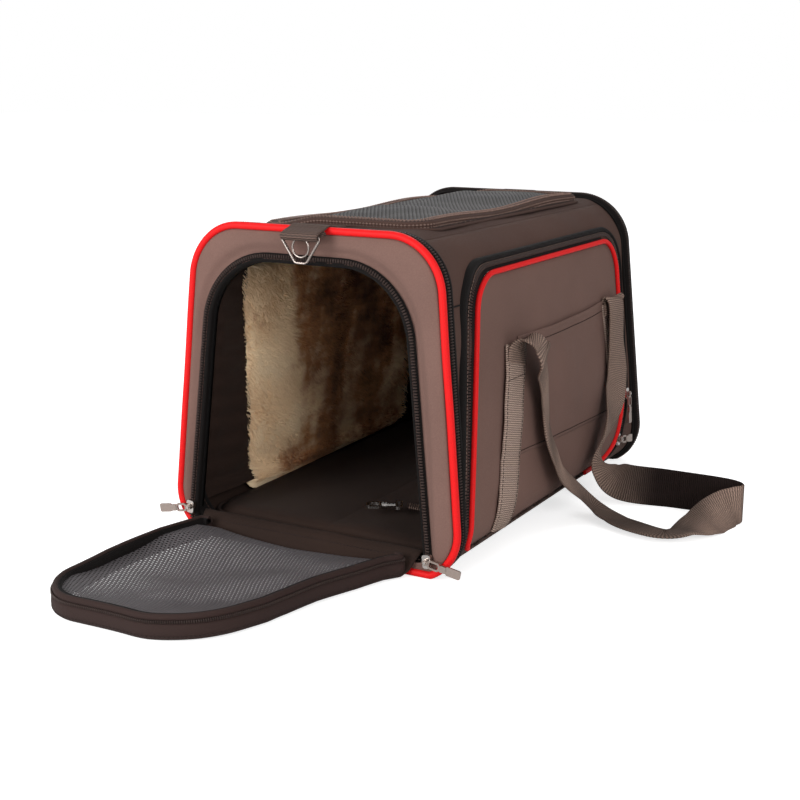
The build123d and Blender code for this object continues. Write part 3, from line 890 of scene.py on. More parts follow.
def make_side_cover(side):
    """The side cloth, with the zip-open panel's place cut out of it."""
    rect = [(-END_Y, V_FOOT), (END_Y, V_FOOT), (END_Y, V_TOP_SEAM), (-END_Y, V_TOP_SEAM)]
    angles = with_corners(rect, PANEL_MID, 360)
    outer = polar(resample(rect, 4000, closed=True), PANEL_MID, angles)
    inner = polar(panel_outline(1.5), PANEL_MID, angles)
    inner[:, 1] = np.maximum(inner[:, 1], V_FOOT)
    rows, _ = ring_patch(outer, inner, 12)
    rows[..., 1] = np.maximum(rows[..., 1], V_FOOT)
    y, v = rows[..., 0], rows[..., 1]
    push = ripple(flank(y, v), 45.0, 1.6, 5.0) * smooth((END_Y - np.abs(y)) / 14)
    push *= smooth((V_TOP_SEAM - v) / 12)
    points = wrapped(flank(y, v, push))
    batch = Batch().grid(points[:, ::-1], uv=wrapped(rows)[:, ::-1])
    cover = handed(batch, side).build(side + "_side_cover", "carrier", [SHADED_SIDE_CLOTH, LINING],
                                      "body_fabric", ("side_border_" + side,), solid=2.2, weld=True)

def make_base_cover():
    """The cloth under the bag, from one foot seam round to the other."""
    y = np.linspace(-END_Y, END_Y, 90)
    s = np.linspace(S_FOOT, 2 * S_END - S_FOOT, 90)
    s = np.where(s > S_END, s - 2 * S_END, s)
    yy, ss = np.meshgrid(y, s)
    batch = Batch().grid(skin(yy, ss), uv=np.stack([yy, np.abs(ss)], -1))
    base = batch.build("base_cover", "carrier", [SHADED_SIDE_CLOTH, LINING], "body_fabric", ("base_panel",),
                       solid=2.2)

def end_y(z, sign=-1.0):
    """The outer face of an end panel at this height."""
    return sign * (-FRONT_Y - LEAN_IN * np.clip(z, 0, HEIGHT) / HEIGHT)


def on_end(outline, sign=-1.0, out=0.0):
    """An (x, z) outline on the outer face of an end panel, moved out from it."""
    return np.stack([outline[:, 0], end_y(outline[:, 1], sign) + sign * out, outline[:, 1]], 1)

def make_front_panel():
    """The padded front panel round the door opening."""
    centre = (DOOR_X, 140.0)
    angles = all_round(480)
    outer = polar(section_outline(-2.0), centre, angles)
    inner = polar(door_opening(), centre, angles)
    rows, share = ring_patch(outer, inner, 16)
    width = np.linalg.norm(outer - inner, axis=1)
    from_opening = width[None] * (1 - share)[:, None]
    lift = smooth((from_opening - 9) / 9) * np.sin(math.pi * share)[:, None] ** 0.5
    x, z = rows[..., 0], rows[..., 1]
    points = np.stack([x, end_y(z) - 4.8 * np.clip(width / 40, 0.15, 1.0)[None] * lift, z], -1)
    points[..., 1] -= ripple(points, 38.0, 1.6, 2.0) * lift
    batch = Batch().grid(points[:, ::-1], close_cols=True, uv=wrapped(rows)[:, ::-1])
    front = batch.build("front_panel_cover", "carrier", [FRONT_CLOTH, LINING], "front_fabric",
                        ("front_panel",), solid=3.6)

def make_rear_panel():
    """The padded rear panel round its mesh window, with the window's net and binding."""
    centre = (0.0, WINDOW_Z)
    angles = all_round(480)
    outer = polar(section_outline(-2.0), centre, angles)
    low, high = WINDOW_Z - WINDOW_HALF, WINDOW_Z + WINDOW_HALF
    square = [(-WINDOW_HALF, low), (WINDOW_HALF, low), (WINDOW_HALF, high), (-WINDOW_HALF, high)]
    window = rounded(square, [WINDOW_R] * 4)
    rows, share = ring_patch(outer, polar(window, centre, angles), 16)
    x, z = rows[..., 0], rows[..., 1]
    across = np.sin(math.pi * share)[:, None]
    points = np.stack([x, end_y(z, 1.0) + 5.0 * across ** 0.8, z], -1)
    points[..., 1] += ripple(points, 38.0, 1.6, 12.0) * across
    batch = Batch().grid(points, close_cols=True, uv=wrapped(rows))
    rear = batch.build("rear_panel_cover", "carrier", [FRONT_CLOTH, LINING], "front_fabric",
                       ("rear_panel",), solid=3.6)

    def place(x, z):
        slack = np.cos(x / WINDOW_HALF * 1.5) * np.cos((z - WINDOW_Z) / WINDOW_HALF * 1.5)
        return np.stack([x, end_y(z, 1.0) - 1.5 + 3.0 * slack, z], -1)

    batch = Batch()
    net(batch, grown(window, 3.0), place)
    mesh = batch.build("rear_window_net", "carrier", [NET], "mesh", ("rear_mesh_window",), solid=0.4)

    trim = [(-5, 0.2), (-5, 1.6), (5, 1.8), (6, 0.2)]
    batch = Batch().sweep(on_end(window, 1.0), *planar(window, (0, 1, 0)), trim, True)
    ring = grown(window, 2.5)
    stitches(batch, on_end(ring, 1.0, 1.9), np.tile([0, 1.0, 0], (len(ring), 1)), 1, closed=True)
    batch.build("rear_window_binding", "carrier", [BINDING, THREAD], "binding")

def planar(outline, face):
    """Outward directions in the (x, z) plane of a closed outline, and the face direction."""
    ahead = unit(np.roll(outline, -1, 0) - np.roll(outline, 1, 0))
    out = np.stack([ahead[:, 1], np.zeros(len(ahead)), -ahead[:, 0]], 1)
    return out, np.tile(np.asarray(face, float), (len(out), 1))


def make_piping():
    """Red piping round both ends and the zipper tape and chain behind it."""
    for name, sign in (("front", -1.0), ("rear", 1.0)):
        outline = section_outline(0.6 if sign < 0 else -2.2)
        z = np.maximum(outline[:, 1], PIPING_R + 0.2)
        y = end_y(z, sign)
        path = np.stack([outline[:, 0], y, z], 1)
        path[:, 0] += ripple(path, 60.0, 0.8, 4.0)
        batch = Batch().tube(path, PIPING_R, closed=True, sides=14)
        batch.build(name + "_piping_cord", "carrier", [RED], "piping", (name + "_piping",))

        s = np.linspace(-S_END, S_END, 700, endpoint=False)
        base = skin(sign * (END_Y - 4.5), s)
        out = unit(skin(0.0, s, 1.0) - skin(0.0, s))
        lift = np.tile([0, -sign, 0.0], (len(s), 1))
        height = 1.5 if sign < 0 else 4.6
        tape = Batch().sweep(base, lift, out, [(-7, 0), (-6, height), (4.5, height), (7, 0)], True)
        coil(tape, skin(sign * (END_Y - 5.5), s, height), out, 3.8, closed=True, mat=1)
        lip = skin(sign * (END_Y - 11.5), s, 0.6)
        tape.sweep(lip, lift, out, [(-2.2, -0.4), (-1.2, 1.2), (1.2, 1.6), (2.6, -0.4)], True, mat=2)
        tape.build(name + "_end_zip", "carrier", [TAPE, COIL, BLACK_FOLD], "zipper_tape",
                   (name + "_zipper_tape",))


def make_door_zip():
    """The open half of the door's zipper, sewn round the opening's edge."""
    centre = (DOOR_X, 120.0)
    arc = (-41.5, 221.5)
    line = stretch(door_opening(), centre, arc, 500)
    base = on_end(line)
    out = unit(np.stack([np.gradient(line[:, 1]), 0 * line[:, 0], -np.gradient(line[:, 0])], 1))
    front = np.tile([0, -1.0, 0], (len(line), 1))
    base[:, 1] -= np.abs(ripple(base, 16.0, 1.4, 1.0)) * smooth((line[:, 1] - 150) / 60)
    batch = Batch()
    profile = [(-2.4, -8.0), (-1.8, 0.6), (0, 1.8), (4.4, 2.1), (6.8, 1.3), (6.4, -0.8), (0, -0.6)]
    batch.sweep(base, out, front, profile)
    chain = stretch(door_opening(4.0), centre, arc, 500)
    coil(batch, on_end(chain, out=2.6), front, 3.2, mat=1)
    seam = stretch(door_opening(1.6), centre, arc, 500)
    stitches(batch, on_end(seam, out=1.9), front, 2)
    batch.build("door_opening_zip", "carrier", [BLACK_FOLD, COIL, BINDING], "zipper_tape",
                ("door_opening_zipper",))


# ---- fold-down door ------------------------------------------------------------------------------
def door_place(x, d, z):
    """A point of the lying door: x across, d away from the hinge, z above the floor."""
    narrowing = (DOOR_LOW[1] - DOOR_HIGH[1]) * d / (DOOR_Z[1] - DOOR_Z[0])
    share = (x - DOOR_LOW[0] - narrowing) / (DOOR_LOW[1] - DOOR_LOW[0] - 2 * narrowing)
    left = np.interp(d, *zip(*DOOR_LEFT))
    right = np.interp(d, *zip(*DOOR_RIGHT))
    return np.stack([left + (right - left) * share, HINGE_Y - DOOR_FLAT * d, z + 0 * x], -1)


def door_shape(grow=0.0):
    """The door's outline as (x, d)."""
    return door_opening(grow - DOOR_CLEAR) - [0, DOOR_Z[0]]


def make_door_rim():
    """The door's stiff bound rim with the zipper's other half."""
    centre = (DOOR_X, 110.0)
    arc = (-44.5, 224.5)
    line = stretch(door_shape(), centre, arc, 520)
    line[:, 1] = np.maximum(line[:, 1], 1.0)
    base = door_place(line[:, 0], line[:, 1], 0.0)
    ahead = tangents(base)
    up = np.tile([0, 0, 1.0], (len(base), 1))
    out = unit(np.cross(up, ahead))
    if ((base.mean(0) - base[260]) @ out[260]) > 0:
        out = -out
    wave = ripple(base, 70.0, 2.0, 6.0)
    base = base + out * wave[:, None]
    rise = up * (0.8 + np.abs(ripple(base, 90.0, 1.6, 8.0)))[:, None]
    wall = [(-7, 0.4), (-1.2, 0.2), (0.9, 2.0), (1.6, 7.0), (1.2, 12.0), (-0.4, 14.6), (-7, 14.2)]
    batch = Batch().sweep(base + rise, out, up, wall)
    roll = [(2.6 * math.cos(t) - 2.4, 3.1 * math.sin(t) + 18.0) for t in np.linspace(0, 6.28, 11)[:-1]]
    batch.sweep(base + rise, out, up, roll, mat=1)
    batch.sweep(base + rise, out, up, [(-6.5, 14), (-1.0, 14), (0.2, 15.5), (-0.8, 17.5), (-6, 20)], mat=2)
    coil(batch, base + rise + up * 15.4 + out * 0.2, out, 2.2, mat=3, pitch=1.8)
    lip = base + rise + up * 3.6 + out * 1.1
    stitches(batch, lip, out, 4)
    inner = [(-8.4, 1.0), (-6.8, 1.0), (-6.0, 19.0), (-7.4, 19.6)]
    batch.sweep(base + rise, out, up, inner, mat=2)
    cloths = [RIM_CLOTH, RIM_CLOTH, BLACK_FOLD, COIL, DARK_THREAD]
    batch.build("door_rim_band", "front_door", cloths, "binding",
                ("door_rim", "door_zipper_tape"))


def make_door_net():
    """The door's slack mesh, hung inside its rim."""
    def place(x, d):
        r = np.sqrt(((x - DOOR_X) / 118) ** 2 + ((d - 118) / 122) ** 2)
        edge = 6.0 + 8.0 * smooth(d / 50)
        z = np.minimum(3.0 + edge * np.clip(r, 0, 1.2) ** 2.6, 17.0)
        p = door_place(x, d, z)
        folds = ripple(p, 55.0, 3.4, 4.0) + ripple(p, 24.0, 1.2, 7.0)
        z = np.maximum(z + folds * np.clip(1.25 - r, 0.2, 1), 1.2)
        return door_place(x, d, z)

    batch = Batch()
    net(batch, door_shape(-5.0), place, lambda p: 0.34 + 0.2 * smooth((-60 - p[:, 0] + p[:, 1] / 6) / 90))
    mesh = batch.build("door_net", "front_door", [DOOR_NET], "mesh", ("door_mesh",), solid=0.3)


def make_door_hinge():
    """The fabric hinge between the base's front edge and the door."""
    x = np.linspace(DOOR_LOW[0] + 6, DOOR_LOW[1] - 6, 60)
    profile = [(-212.0, 20.6), (-217.0, 18.5), (-222.0, 14.0), (HINGE_Y + 1, 8.0), (HINGE_Y - 3, 5.0),
               (HINGE_Y - 7, 4.0)]
    line = spline(profile, 24)
    xx, k = np.meshgrid(x, np.arange(24))
    points = np.stack([DOOR_X + (xx - DOOR_X) * (1 - 0.08 * k / 23), line[k, 0], line[k, 1]], -1)
    points[..., 2] += ripple(points, 30.0, 0.8, 3.0)
    batch = Batch().grid(points[:, ::-1])
    seam = np.stack([x, 0 * x - 221.5, 0 * x + 16.0], 1)
    up = np.tile([0, -0.5, 0.85], (len(x), 1))
    stitches(batch, seam, up, 1)
    strip = batch.build("door_hinge_strip", "carrier", [LINING, DARK_THREAD], "binding", ("door_hinge_tape",),
                        solid=1.2, blend=("front_door", (0, -0.222, 0.014), (0, -0.232, 0.012)))


# ---- side panels ---------------------------------------------------------------------------------
def run_edges(run, v):
    """The middle of a webbing run at a height up the slope."""
    (y0, v0), (y1, v1) = run
    return y0 + (y1 - y0) * (v - v0) / (v1 - v0)


def run_out(y, v):
    """How far out the middle of a webbing run lies, clear of the panel under its whole width."""
    under = [panel_out(y + shift, v) for shift in (-16.0, 0.0, 16.0)]
    return np.max(under, 0) + 1.5


def make_panel(side):
    """One zip-open side panel and its piping cord."""
    angles = all_round(420)
    outline = polar(panel_outline(), PANEL_MID, angles)
    rows, _ = disc_patch(outline, PANEL_MID, 26)
    points = flank(rows[..., 0], rows[..., 1], panel_out(rows[..., 0], rows[..., 1]))
    uv = wrapped(rows)
    batch = Batch().grid(wrapped(points)[:, ::-1], uv=uv[:, ::-1])
    panel = handed(batch, side).build(side + "_panel_cover", side + "_panel", [BODY_CLOTH, LINING],
                                      "body_fabric", (side + "_panel",), solid=2.4, weld=True)

    line = stretch(panel_outline(-0.5), PANEL_MID, (-55.0, 212.0), 700)
    line[:, 1] = np.maximum(line[:, 1], V_FOOT)
    path = flank(line[:, 0], line[:, 1], 2.2)
    batch = Batch().tube(path, 2.5, sides=12)
    handed(batch, side).build(side + "_panel_cord", side + "_panel", [RED], "piping",
                              (side + "_panel_piping",))


def make_runs(side):
    """The two webbing runs sewn to a side panel, with their edge seams and cross seams."""
    runs = (("front", FRONT_RUN, V_FOOT + 2, FOLD_V - 7), ("rear", REAR_RUN, 104.0, FOLD_V))
    for which, run, low, high in runs:
        v = np.linspace(low, high, 240)
        y = run_edges(run, v)
        out_by = run_out(y, v)
        path = flank(y, v, out_by)
        batch = Batch()
        out = ribbon(batch, path, flank(y + 1, v, out_by) - path, rib=0.12)
        if out[100][0] < 0:
            out = -out
        edge = WEBBING_W / 2 - 2.6
        for shift in (-edge, edge):
            seam = flank(y + shift, v, out_by + WEBBING_T / 2)
            stitches(batch, seam, out, 1)
        cross = np.linspace(-edge, edge, 20)
        for v_cross in (FOLD_V - 8, FOLD_V - 34):
            yy = run_edges(run, v_cross) + cross
            height = np.interp(v_cross, v, out_by) + WEBBING_T / 2
            seam = flank(yy, v_cross + 0 * yy, height)
            stitches(batch, seam, np.tile(out[-20], (20, 1)), 1)
        handed(batch, side).build(side + "_" + which + "_webbing_run", side + "_panel", [WEB, DARK_THREAD],
                                  "webbing", (side + "_" + which + "_webbing",))


def make_pocket(side):
    """The flat pocket between the webbing runs, its hem sagging a little open."""
    u, w = np.meshgrid(np.linspace(0, 1, 90), np.linspace(0, 1, 60))
    hem = FOLD_V + 1 + 3.0 * u - 2.0 * np.sin(math.pi * u)
    foot = 84.0 - 10.0 * u
    v = foot + (hem - foot) * w
    left = run_edges(FRONT_RUN, v) + 6.0
    right = run_edges(REAR_RUN, v) - 6.0
    y = left + (right - left) * u
    open_by = 1.6 * smooth((w - 0.8) / 0.2) * np.sin(math.pi * u) ** 0.7
    fold = 0.7 * smooth((w - 0.95) / 0.02)
    points = flank(y, v, panel_out(y, v) + 0.5 + 0.5 * smooth(w / 0.04) + open_by + fold)
    batch = Batch().grid(points[:, ::-1], uv=np.stack([y, v], -1)[:, ::-1])
    up = np.tile(flank(0.0, 120.0, 1.0) - flank(0.0, 120.0), (points.shape[1], 1))
    for row in (54, 2):
        stitches(batch, points[row] + up * 0.1, up, 1)
    handed(batch, side).build(side + "_pocket_cover", side + "_panel", [BODY_CLOTH, DARK_THREAD],
                              "body_fabric", (side + "_pocket",), solid=1.0)


def make_panel_zip(side):
    """The dark zipper band round a side panel: a fold, the coil chain and the inner tape."""
    angles = np.linspace(*PANEL_ARC, 520)
    outer = polar(rounded(BAND, BAND_R), PANEL_MID, angles)
    inner = polar(panel_outline(1.0), PANEL_MID, angles)
    rows, share = ring_patch(outer, inner, 22)
    rows[..., 1] = np.maximum(rows[..., 1], V_FOOT - 3)
    height = 0.9 + 2.6 * np.sin(math.pi * np.clip(share / 0.42, 0, 1)) ** 0.8
    height -= 0.9 * smooth((share - 0.42) / 0.06) * smooth((0.78 - share) / 0.06)
    height = np.where(share >= 0.999, -1.0, np.where(share <= 0.001, -0.4, height))
    points = flank(rows[..., 0], rows[..., 1], height[:, None] + 0 * rows[..., 0])
    points += ripple(points, 22.0, 0.7, 5.0)[..., None] * [0.6, 0, 0.4]
    batch = Batch().grid(points[:, ::-1])

    def course(share_in, height):
        """A line along the band at a share of its width, and the way out from it."""
        line = resample(outer * (1 - share_in) + inner * share_in, 900)
        lift = flank(line[:, 0], line[:, 1], 2.0) - flank(line[:, 0], line[:, 1], 1.0)
        return flank(line[:, 0], np.maximum(line[:, 1], V_FOOT), height), lift

    coil(batch, *course(0.58, 1.0), 4.8, mat=1)
    dart = flank(np.linspace(-END_Y + 3, -188.0, 12), np.full(12, 233.0), 0.5)
    batch.tube(dart, 0.7)
    stitches(batch, *course(0.46, 1.6), 2)
    handed(batch, side).build(side + "_panel_zip", "carrier", [BLACK_FOLD, COIL, THREAD], "zipper_tape",
                              (side + "_panel_zipper",))


def make_gusset(side):
    """The cloth between the bag and a side panel, baked in place."""
    line = stretch(panel_outline(-7.0), PANEL_MID, (-25.0, 200.0), 260)
    line[:, 1] = np.maximum(line[:, 1], 52.0)
    depth = np.linspace(-13.0, -3.2, 14)
    out = np.array([math.cos(LEAN), 0.0, math.sin(LEAN)])
    foot = flank(line[:, 0], np.minimum(line[:, 1], 240.0))
    points = foot[None] + depth[:, None, None] * out[None, None]
    sign = 1.0 if side == "right" else -1.0
    batch = handed(Batch().grid(points), side)
    start = Vector((BASE_W / 2 * MM, 0, 0)) + Vector(out) * depth[0] * MM
    end = Vector((BASE_W / 2 * MM, 0, 0)) + Vector(out) * depth[-1] * MM
    start.x, end.x = start.x * sign, end.x * sign
    batch.build(side + "_gusset_cloth", "carrier", [GUSSET], "mesh", (side + "_gusset",),
                solid=0.5, blend=(side + "_panel", start, end))


def make_handle(side):
    """One webbing handle: two strands hang from the panel's folds and meet on the floor."""
    front_y = run_edges(FRONT_RUN, FOLD_V)
    rear_y = run_edges(REAR_RUN, FOLD_V)
    hang = lambda y, v, out: tuple(flank(y, v, out))
    rear_top = float(run_out(np.array([rear_y]), np.array([FOLD_V]))[0])
    front_top = float(run_out(np.array([front_y]), np.array([FOLD_V]))[0])
    # (place, width direction): down the rear strand, round the loop's end, up the front strand
    route = [
        (hang(rear_y, FOLD_V - 12, 2.4 + rear_top), (0, 1, 0)),
        (hang(rear_y, FOLD_V + 1, 3.0 + rear_top), (0, 1, 0)),
        (hang(rear_y - 1, FOLD_V + 4, 6.5 + rear_top), (0, 1, 0)),
        (hang(rear_y - 2, FOLD_V - 6, 9.0 + rear_top), (0, 1, 0)),
        (hang(134.0, 150.0, 14.0), (0, 1, 0)),
        (hang(130.0, 122.0, 15.0), (0.14, 1, 0)),
        (hang(120.0, 98.0, 15.5), (0.16, 1, 0)),
        (hang(100.0, 76.0, 16.0), (-0.1, 0.98, 0)),
        ((161.0, 69.0, 50.0), (-0.34, 0.92, 0.12)),
        ((170.0, 59.0, 34.0), (-0.3, 0.8, 0.5)),
        ((190.0, 60.0, 22.5), (-0.08, 0.45, 0.88)),
        ((236.0, 71.0, 19.6), (0, 0.1, 1)),
        ((286.0, 72.0, 19.6), (0, 0, 1)),
        ((306.0, 66.0, 19.6), (0, 0, 1)),
        ((311.0, 56.0, 19.6), (0, 0, 1)),
        ((305.0, 47.0, 18.6), (-0.05, 0.1, 1)),
        ((296.0, 36.0, 14.5), (-0.25, 0.5, 0.8)),
        ((285.0, 12.0, 8.0), (-0.35, 0.85, 0.3)),
        ((274.0, -10.0, 5.4), (-0.25, 0.93, -0.1)),
        ((260.0, -22.0, 4.6), (-0.2, 0.96, -0.13)),
        ((236.0, -18.0, 4.6), (-0.18, 0.96, -0.1)),
        ((208.0, -6.0, 5.6), (-0.2, 0.95, -0.1)),
        ((187.0, 0.0, 12.0), (-0.3, 0.93, 0)),
        ((170.0, -6.0, 28.0), (-0.34, 0.93, 0)),
        (hang(-24.0, 46.0, 15.0), (-0.34, 0.93, 0)),
        (hang(-42.0, 70.0, 15.0), (-0.33, 0.93, 0)),
        (hang(-55.0, 96.0, 15.0), (-0.32, 0.94, 0)),
        (hang(-57.0, 124.0, 15.5), (-0.28, 0.95, 0.1)),
        (hang(-63.0, 143.0, 18.5), (-0.27, 0.93, 0.22)),
        (hang(-72.0, 160.0, 22.0), (-0.25, 0.93, 0.28)),
        (hang(front_y + 11, FOLD_V - 17, 23.0 + front_top), (-0.23, 0.93, 0.25)),
        (hang(front_y + 8, FOLD_V - 7, 20.0 + front_top), (-0.22, 0.95, 0.15)),
        (hang(front_y + 4, FOLD_V - 2, 14.0 + front_top), (-0.2, 0.97, 0)),
        (hang(front_y + 1, FOLD_V - 3, 7.5 + front_top), (-0.1, 0.97, -0.1)),
        (hang(front_y - 2, FOLD_V - 10, 3.2 + front_top), (0, 0.97, -0.23)),
        (hang(front_y - 5, FOLD_V - 22, 2.4 + front_top), (0, 0.97, -0.23)),
    ]
    count = 1500
    place = spline([p for p, _ in route], count)
    steps = np.linalg.norm(np.diff([p for p, _ in route], axis=0), axis=1)
    marks = np.concatenate([[0], np.cumsum(steps)]) / steps.sum()
    at = np.linspace(0, 1, count)
    ways = np.stack([np.interp(at, marks, [w[k] for _, w in route]) for k in range(3)], 1)
    batch = Batch()
    ribbon(batch, place, ways, rib=0.1)
    handed(batch, side).build(side + "_handle_webbing", side + "_handle", [HANDLE_WEB], "webbing",
                              (side + "_handle",))


# ---- top flap ------------------------------------------------------------------------------------
def flap_lift(x, y):
    """The flap's height: two soft humps and an edge that lifts and dips."""
    length = (y - FLAP[1]) / (FLAP[2] - FLAP[1])
    across = np.clip(np.abs(x) / FLAP[0], 0, 1)
    hump = 4.0 * np.exp(-((y + 70) / 48) ** 2) + 3.0 * np.exp(-((y - 104) / 50) ** 2)
    wave = 3.4 + 1.6 * np.sin(length * 9.4 + 0.6) + 1.0 * length
    rise = np.maximum(wave, 0.2) + hump * (1 - across ** 2.2)
    return HEIGHT + 2.0 + rise - top_sag(y, x)


def on_flap(outline, up=0.0):
    """An (x, y) outline laid on the flap."""
    return np.stack([outline[:, 0], outline[:, 1], flap_lift(outline[:, 0], outline[:, 1]) + up], 1)

def make_flap_frame():
    """The flap's padded edge with its bound rim and seams."""
    angles = all_round(520)
    centre = FLAP_MID
    outer = polar(flap_outline(0), centre, angles)
    inner = polar(flap_outline(FLAP_BAND), centre, angles)
    rows, share = ring_patch(outer, inner, 10)
    height = 2.2 * np.sin(math.pi * share) ** 0.6
    x, y = rows[..., 0], rows[..., 1]
    points = np.stack([x, y, flap_lift(x, y) + height[:, None] - 1.0], -1)
    batch = Batch().grid(points[:, ::-1], close_cols=True)
    rim = on_flap(outer)
    up = np.tile([0, 0, 1.0], (len(rim), 1))
    away = unit(np.cross(tangents(rim, True), up))
    batch.sweep(rim, away, up, [(-1.5, -7.5), (0.8, -7.0), (1.2, -0.6), (0.2, 0.6), (-1.5, 0.2)], True)
    for drop in (2.2, 4.8):
        stitches(batch, rim + away * 1.1 - up * drop, away, 1, closed=True)
    for shrink, lift in ((2.6, 1.2), (FLAP_BAND - 2.5, 0.8)):
        path = on_flap(polar(flap_outline(shrink), centre, angles), lift)
        stitches(batch, path, up, 1, closed=True)
    batch.build("top_flap_frame", "top_flap", [BINDING, THREAD], "binding", ("top_flap_binding",), solid=1.6)


def make_flap_net():
    """The flap's mesh."""
    def place(x, y):
        p = np.stack([x, y, flap_lift(x, y)], -1)
        p[:, 2] += ripple(p, 34.0, 1.6, 2.0) - 0.3
        return p

    batch = Batch()
    net(batch, flap_outline(FLAP_BAND - 3.0), place, hole=0.36)
    mesh = batch.build("top_flap_net", "top_flap", [NET], "mesh", ("top_flap_mesh",), solid=0.4)


def make_top_zip():
    """The top opening's zipper under the flap's edge, riding on the bag."""
    line = polar(flap_outline(1.0), FLAP_MID, all_round(520))
    s, y = line[:, 0], line[:, 1]
    path = skin(y, s, 1.0 - top_sag(y, s))
    up = unit(skin(y, s, 2.0) - skin(y, s, 1.0))
    ahead = tangents(path, True)
    out = unit(np.cross(ahead, up))
    batch = Batch().sweep(path, out, up, [(-7, -0.6), (-7, 0.8), (6, 1.2), (7, -0.4)], True)
    coil(batch, path + up * 0.9 + out * 1.0, up, 3.6, closed=True, mat=1)
    batch.build("top_opening_zip", "carrier", [SHADED_TOP_CLOTH, COIL], "zipper_tape")


# ---- inside --------------------------------------------------------------------------------------
def make_floor_pad():
    """The quilted floor pad with its corded edge."""
    low, high = box_mm("floor_pad")
    half_x, half_y = (high[0] - low[0]) / 2, (high[1] - low[1]) / 2
    mid = (0.0, (high[1] + low[1]) / 2)
    outline = rounded([(-half_x, mid[1] - half_y), (half_x, mid[1] - half_y),
                       (half_x, mid[1] + half_y), (-half_x, mid[1] + half_y)], [26.0] * 4)
    outline = polar(outline, mid, all_round(300))
    rows, share = disc_patch(outline, mid, 26)
    x, y = rows[..., 0], rows[..., 1]
    edge = (1 - np.clip(1 - share * 9, 0, 1) ** 2)[:, None] ** 0.5
    quilt = 1.0 * np.abs(np.sin(x / 44.0 * math.pi / 2)) ** 0.3
    crown = low[2] + 6 + (high[2] - low[2] - 6.6) * edge + quilt * edge
    top = np.stack([x, y, crown], -1)
    top[..., 2] += ripple(top, 40.0, 1.4, 3.0) * edge
    under = np.stack([x, y, low[2] + 6 - 5.4 * edge + 0 * x], -1)
    batch = Batch().grid(wrapped(top))
    batch.grid(wrapped(under)[:, ::-1])
    batch.tube(np.stack([outline[:, 0], outline[:, 1], 0 * outline[:, 0] + low[2] + 6], 1), 2.2, True)
    pad = batch.build("floor_pad_cover", "carrier", [LINING], "lining", ("floor_pad",), weld=True)


def make_lining_strip():
    """The lining drawn over the left wall between the door and the fleece, gathered at its edge."""
    v, across = np.meshgrid(np.linspace(20, 262, 150), np.linspace(0, 1, 40), indexing="ij")
    y = -213 + (91 - (v - 24) * 0.15) * across
    gather = 1.6 * np.sin(v / 3.3 + 2 * across) * (0.4 + 0.6 * across) * np.clip(across * 6, 0, 1)
    gather *= 1 - smooth((across - 0.7) / 0.3)
    deep = -9.0 - 7.0 * smooth(across * 3) + gather
    points = flank(y, v, deep) * [-1, 1, 1]
    points[..., 0] += ripple(points, 36.0, 3.0, 2.0) * smooth(across * 4) * smooth((1 - across) * 4)
    batch = Batch().grid(points, uv=np.stack([y, v], -1))
    curtain = batch.build("left_lining_strip", "carrier", [LINING], "lining", solid=0.8)


def make_sleeves():
    """The fabric sleeves over the two wire frames."""
    for name, sign in (("front", -1.0), ("rear", 1.0)):
        outline = section_outline(-9.5, 700)
        base = on_end(outline, sign, -12.0)
        out, face = planar(outline, (0, 1, 0))
        turn = np.linspace(0, 2 * math.pi, 16, endpoint=False)
        profile = np.stack([4.6 * np.cos(turn), 9.5 * np.sin(turn)], 1)
        batch = Batch().sweep(base, out, face, profile, True)
        stitches(batch, base - out * 4.4, -out, 1, closed=True)
        batch.build(name + "_frame_sleeve", "carrier", [BLACK_FOLD, BINDING], "lining")


def make_tether():
    """The webbing of the safety tether."""
    path = spline([(136.0, -92.0, 24.0), (118.0, -99.0, 26.5), (94.0, -109.0, 25.0),
                   (70.0, -121.0, 26.0), (50.0, -130.5, 29.0)], 120)
    way = np.cross([0, 0, 1.0], tangents(path))
    batch = Batch()
    ribbon(batch, path, way, width=15.0, thick=1.8, rib=0.1)
    batch.build("tether_webbing", "carrier", [TAB_WEB], "webbing", ("tether_strap",))


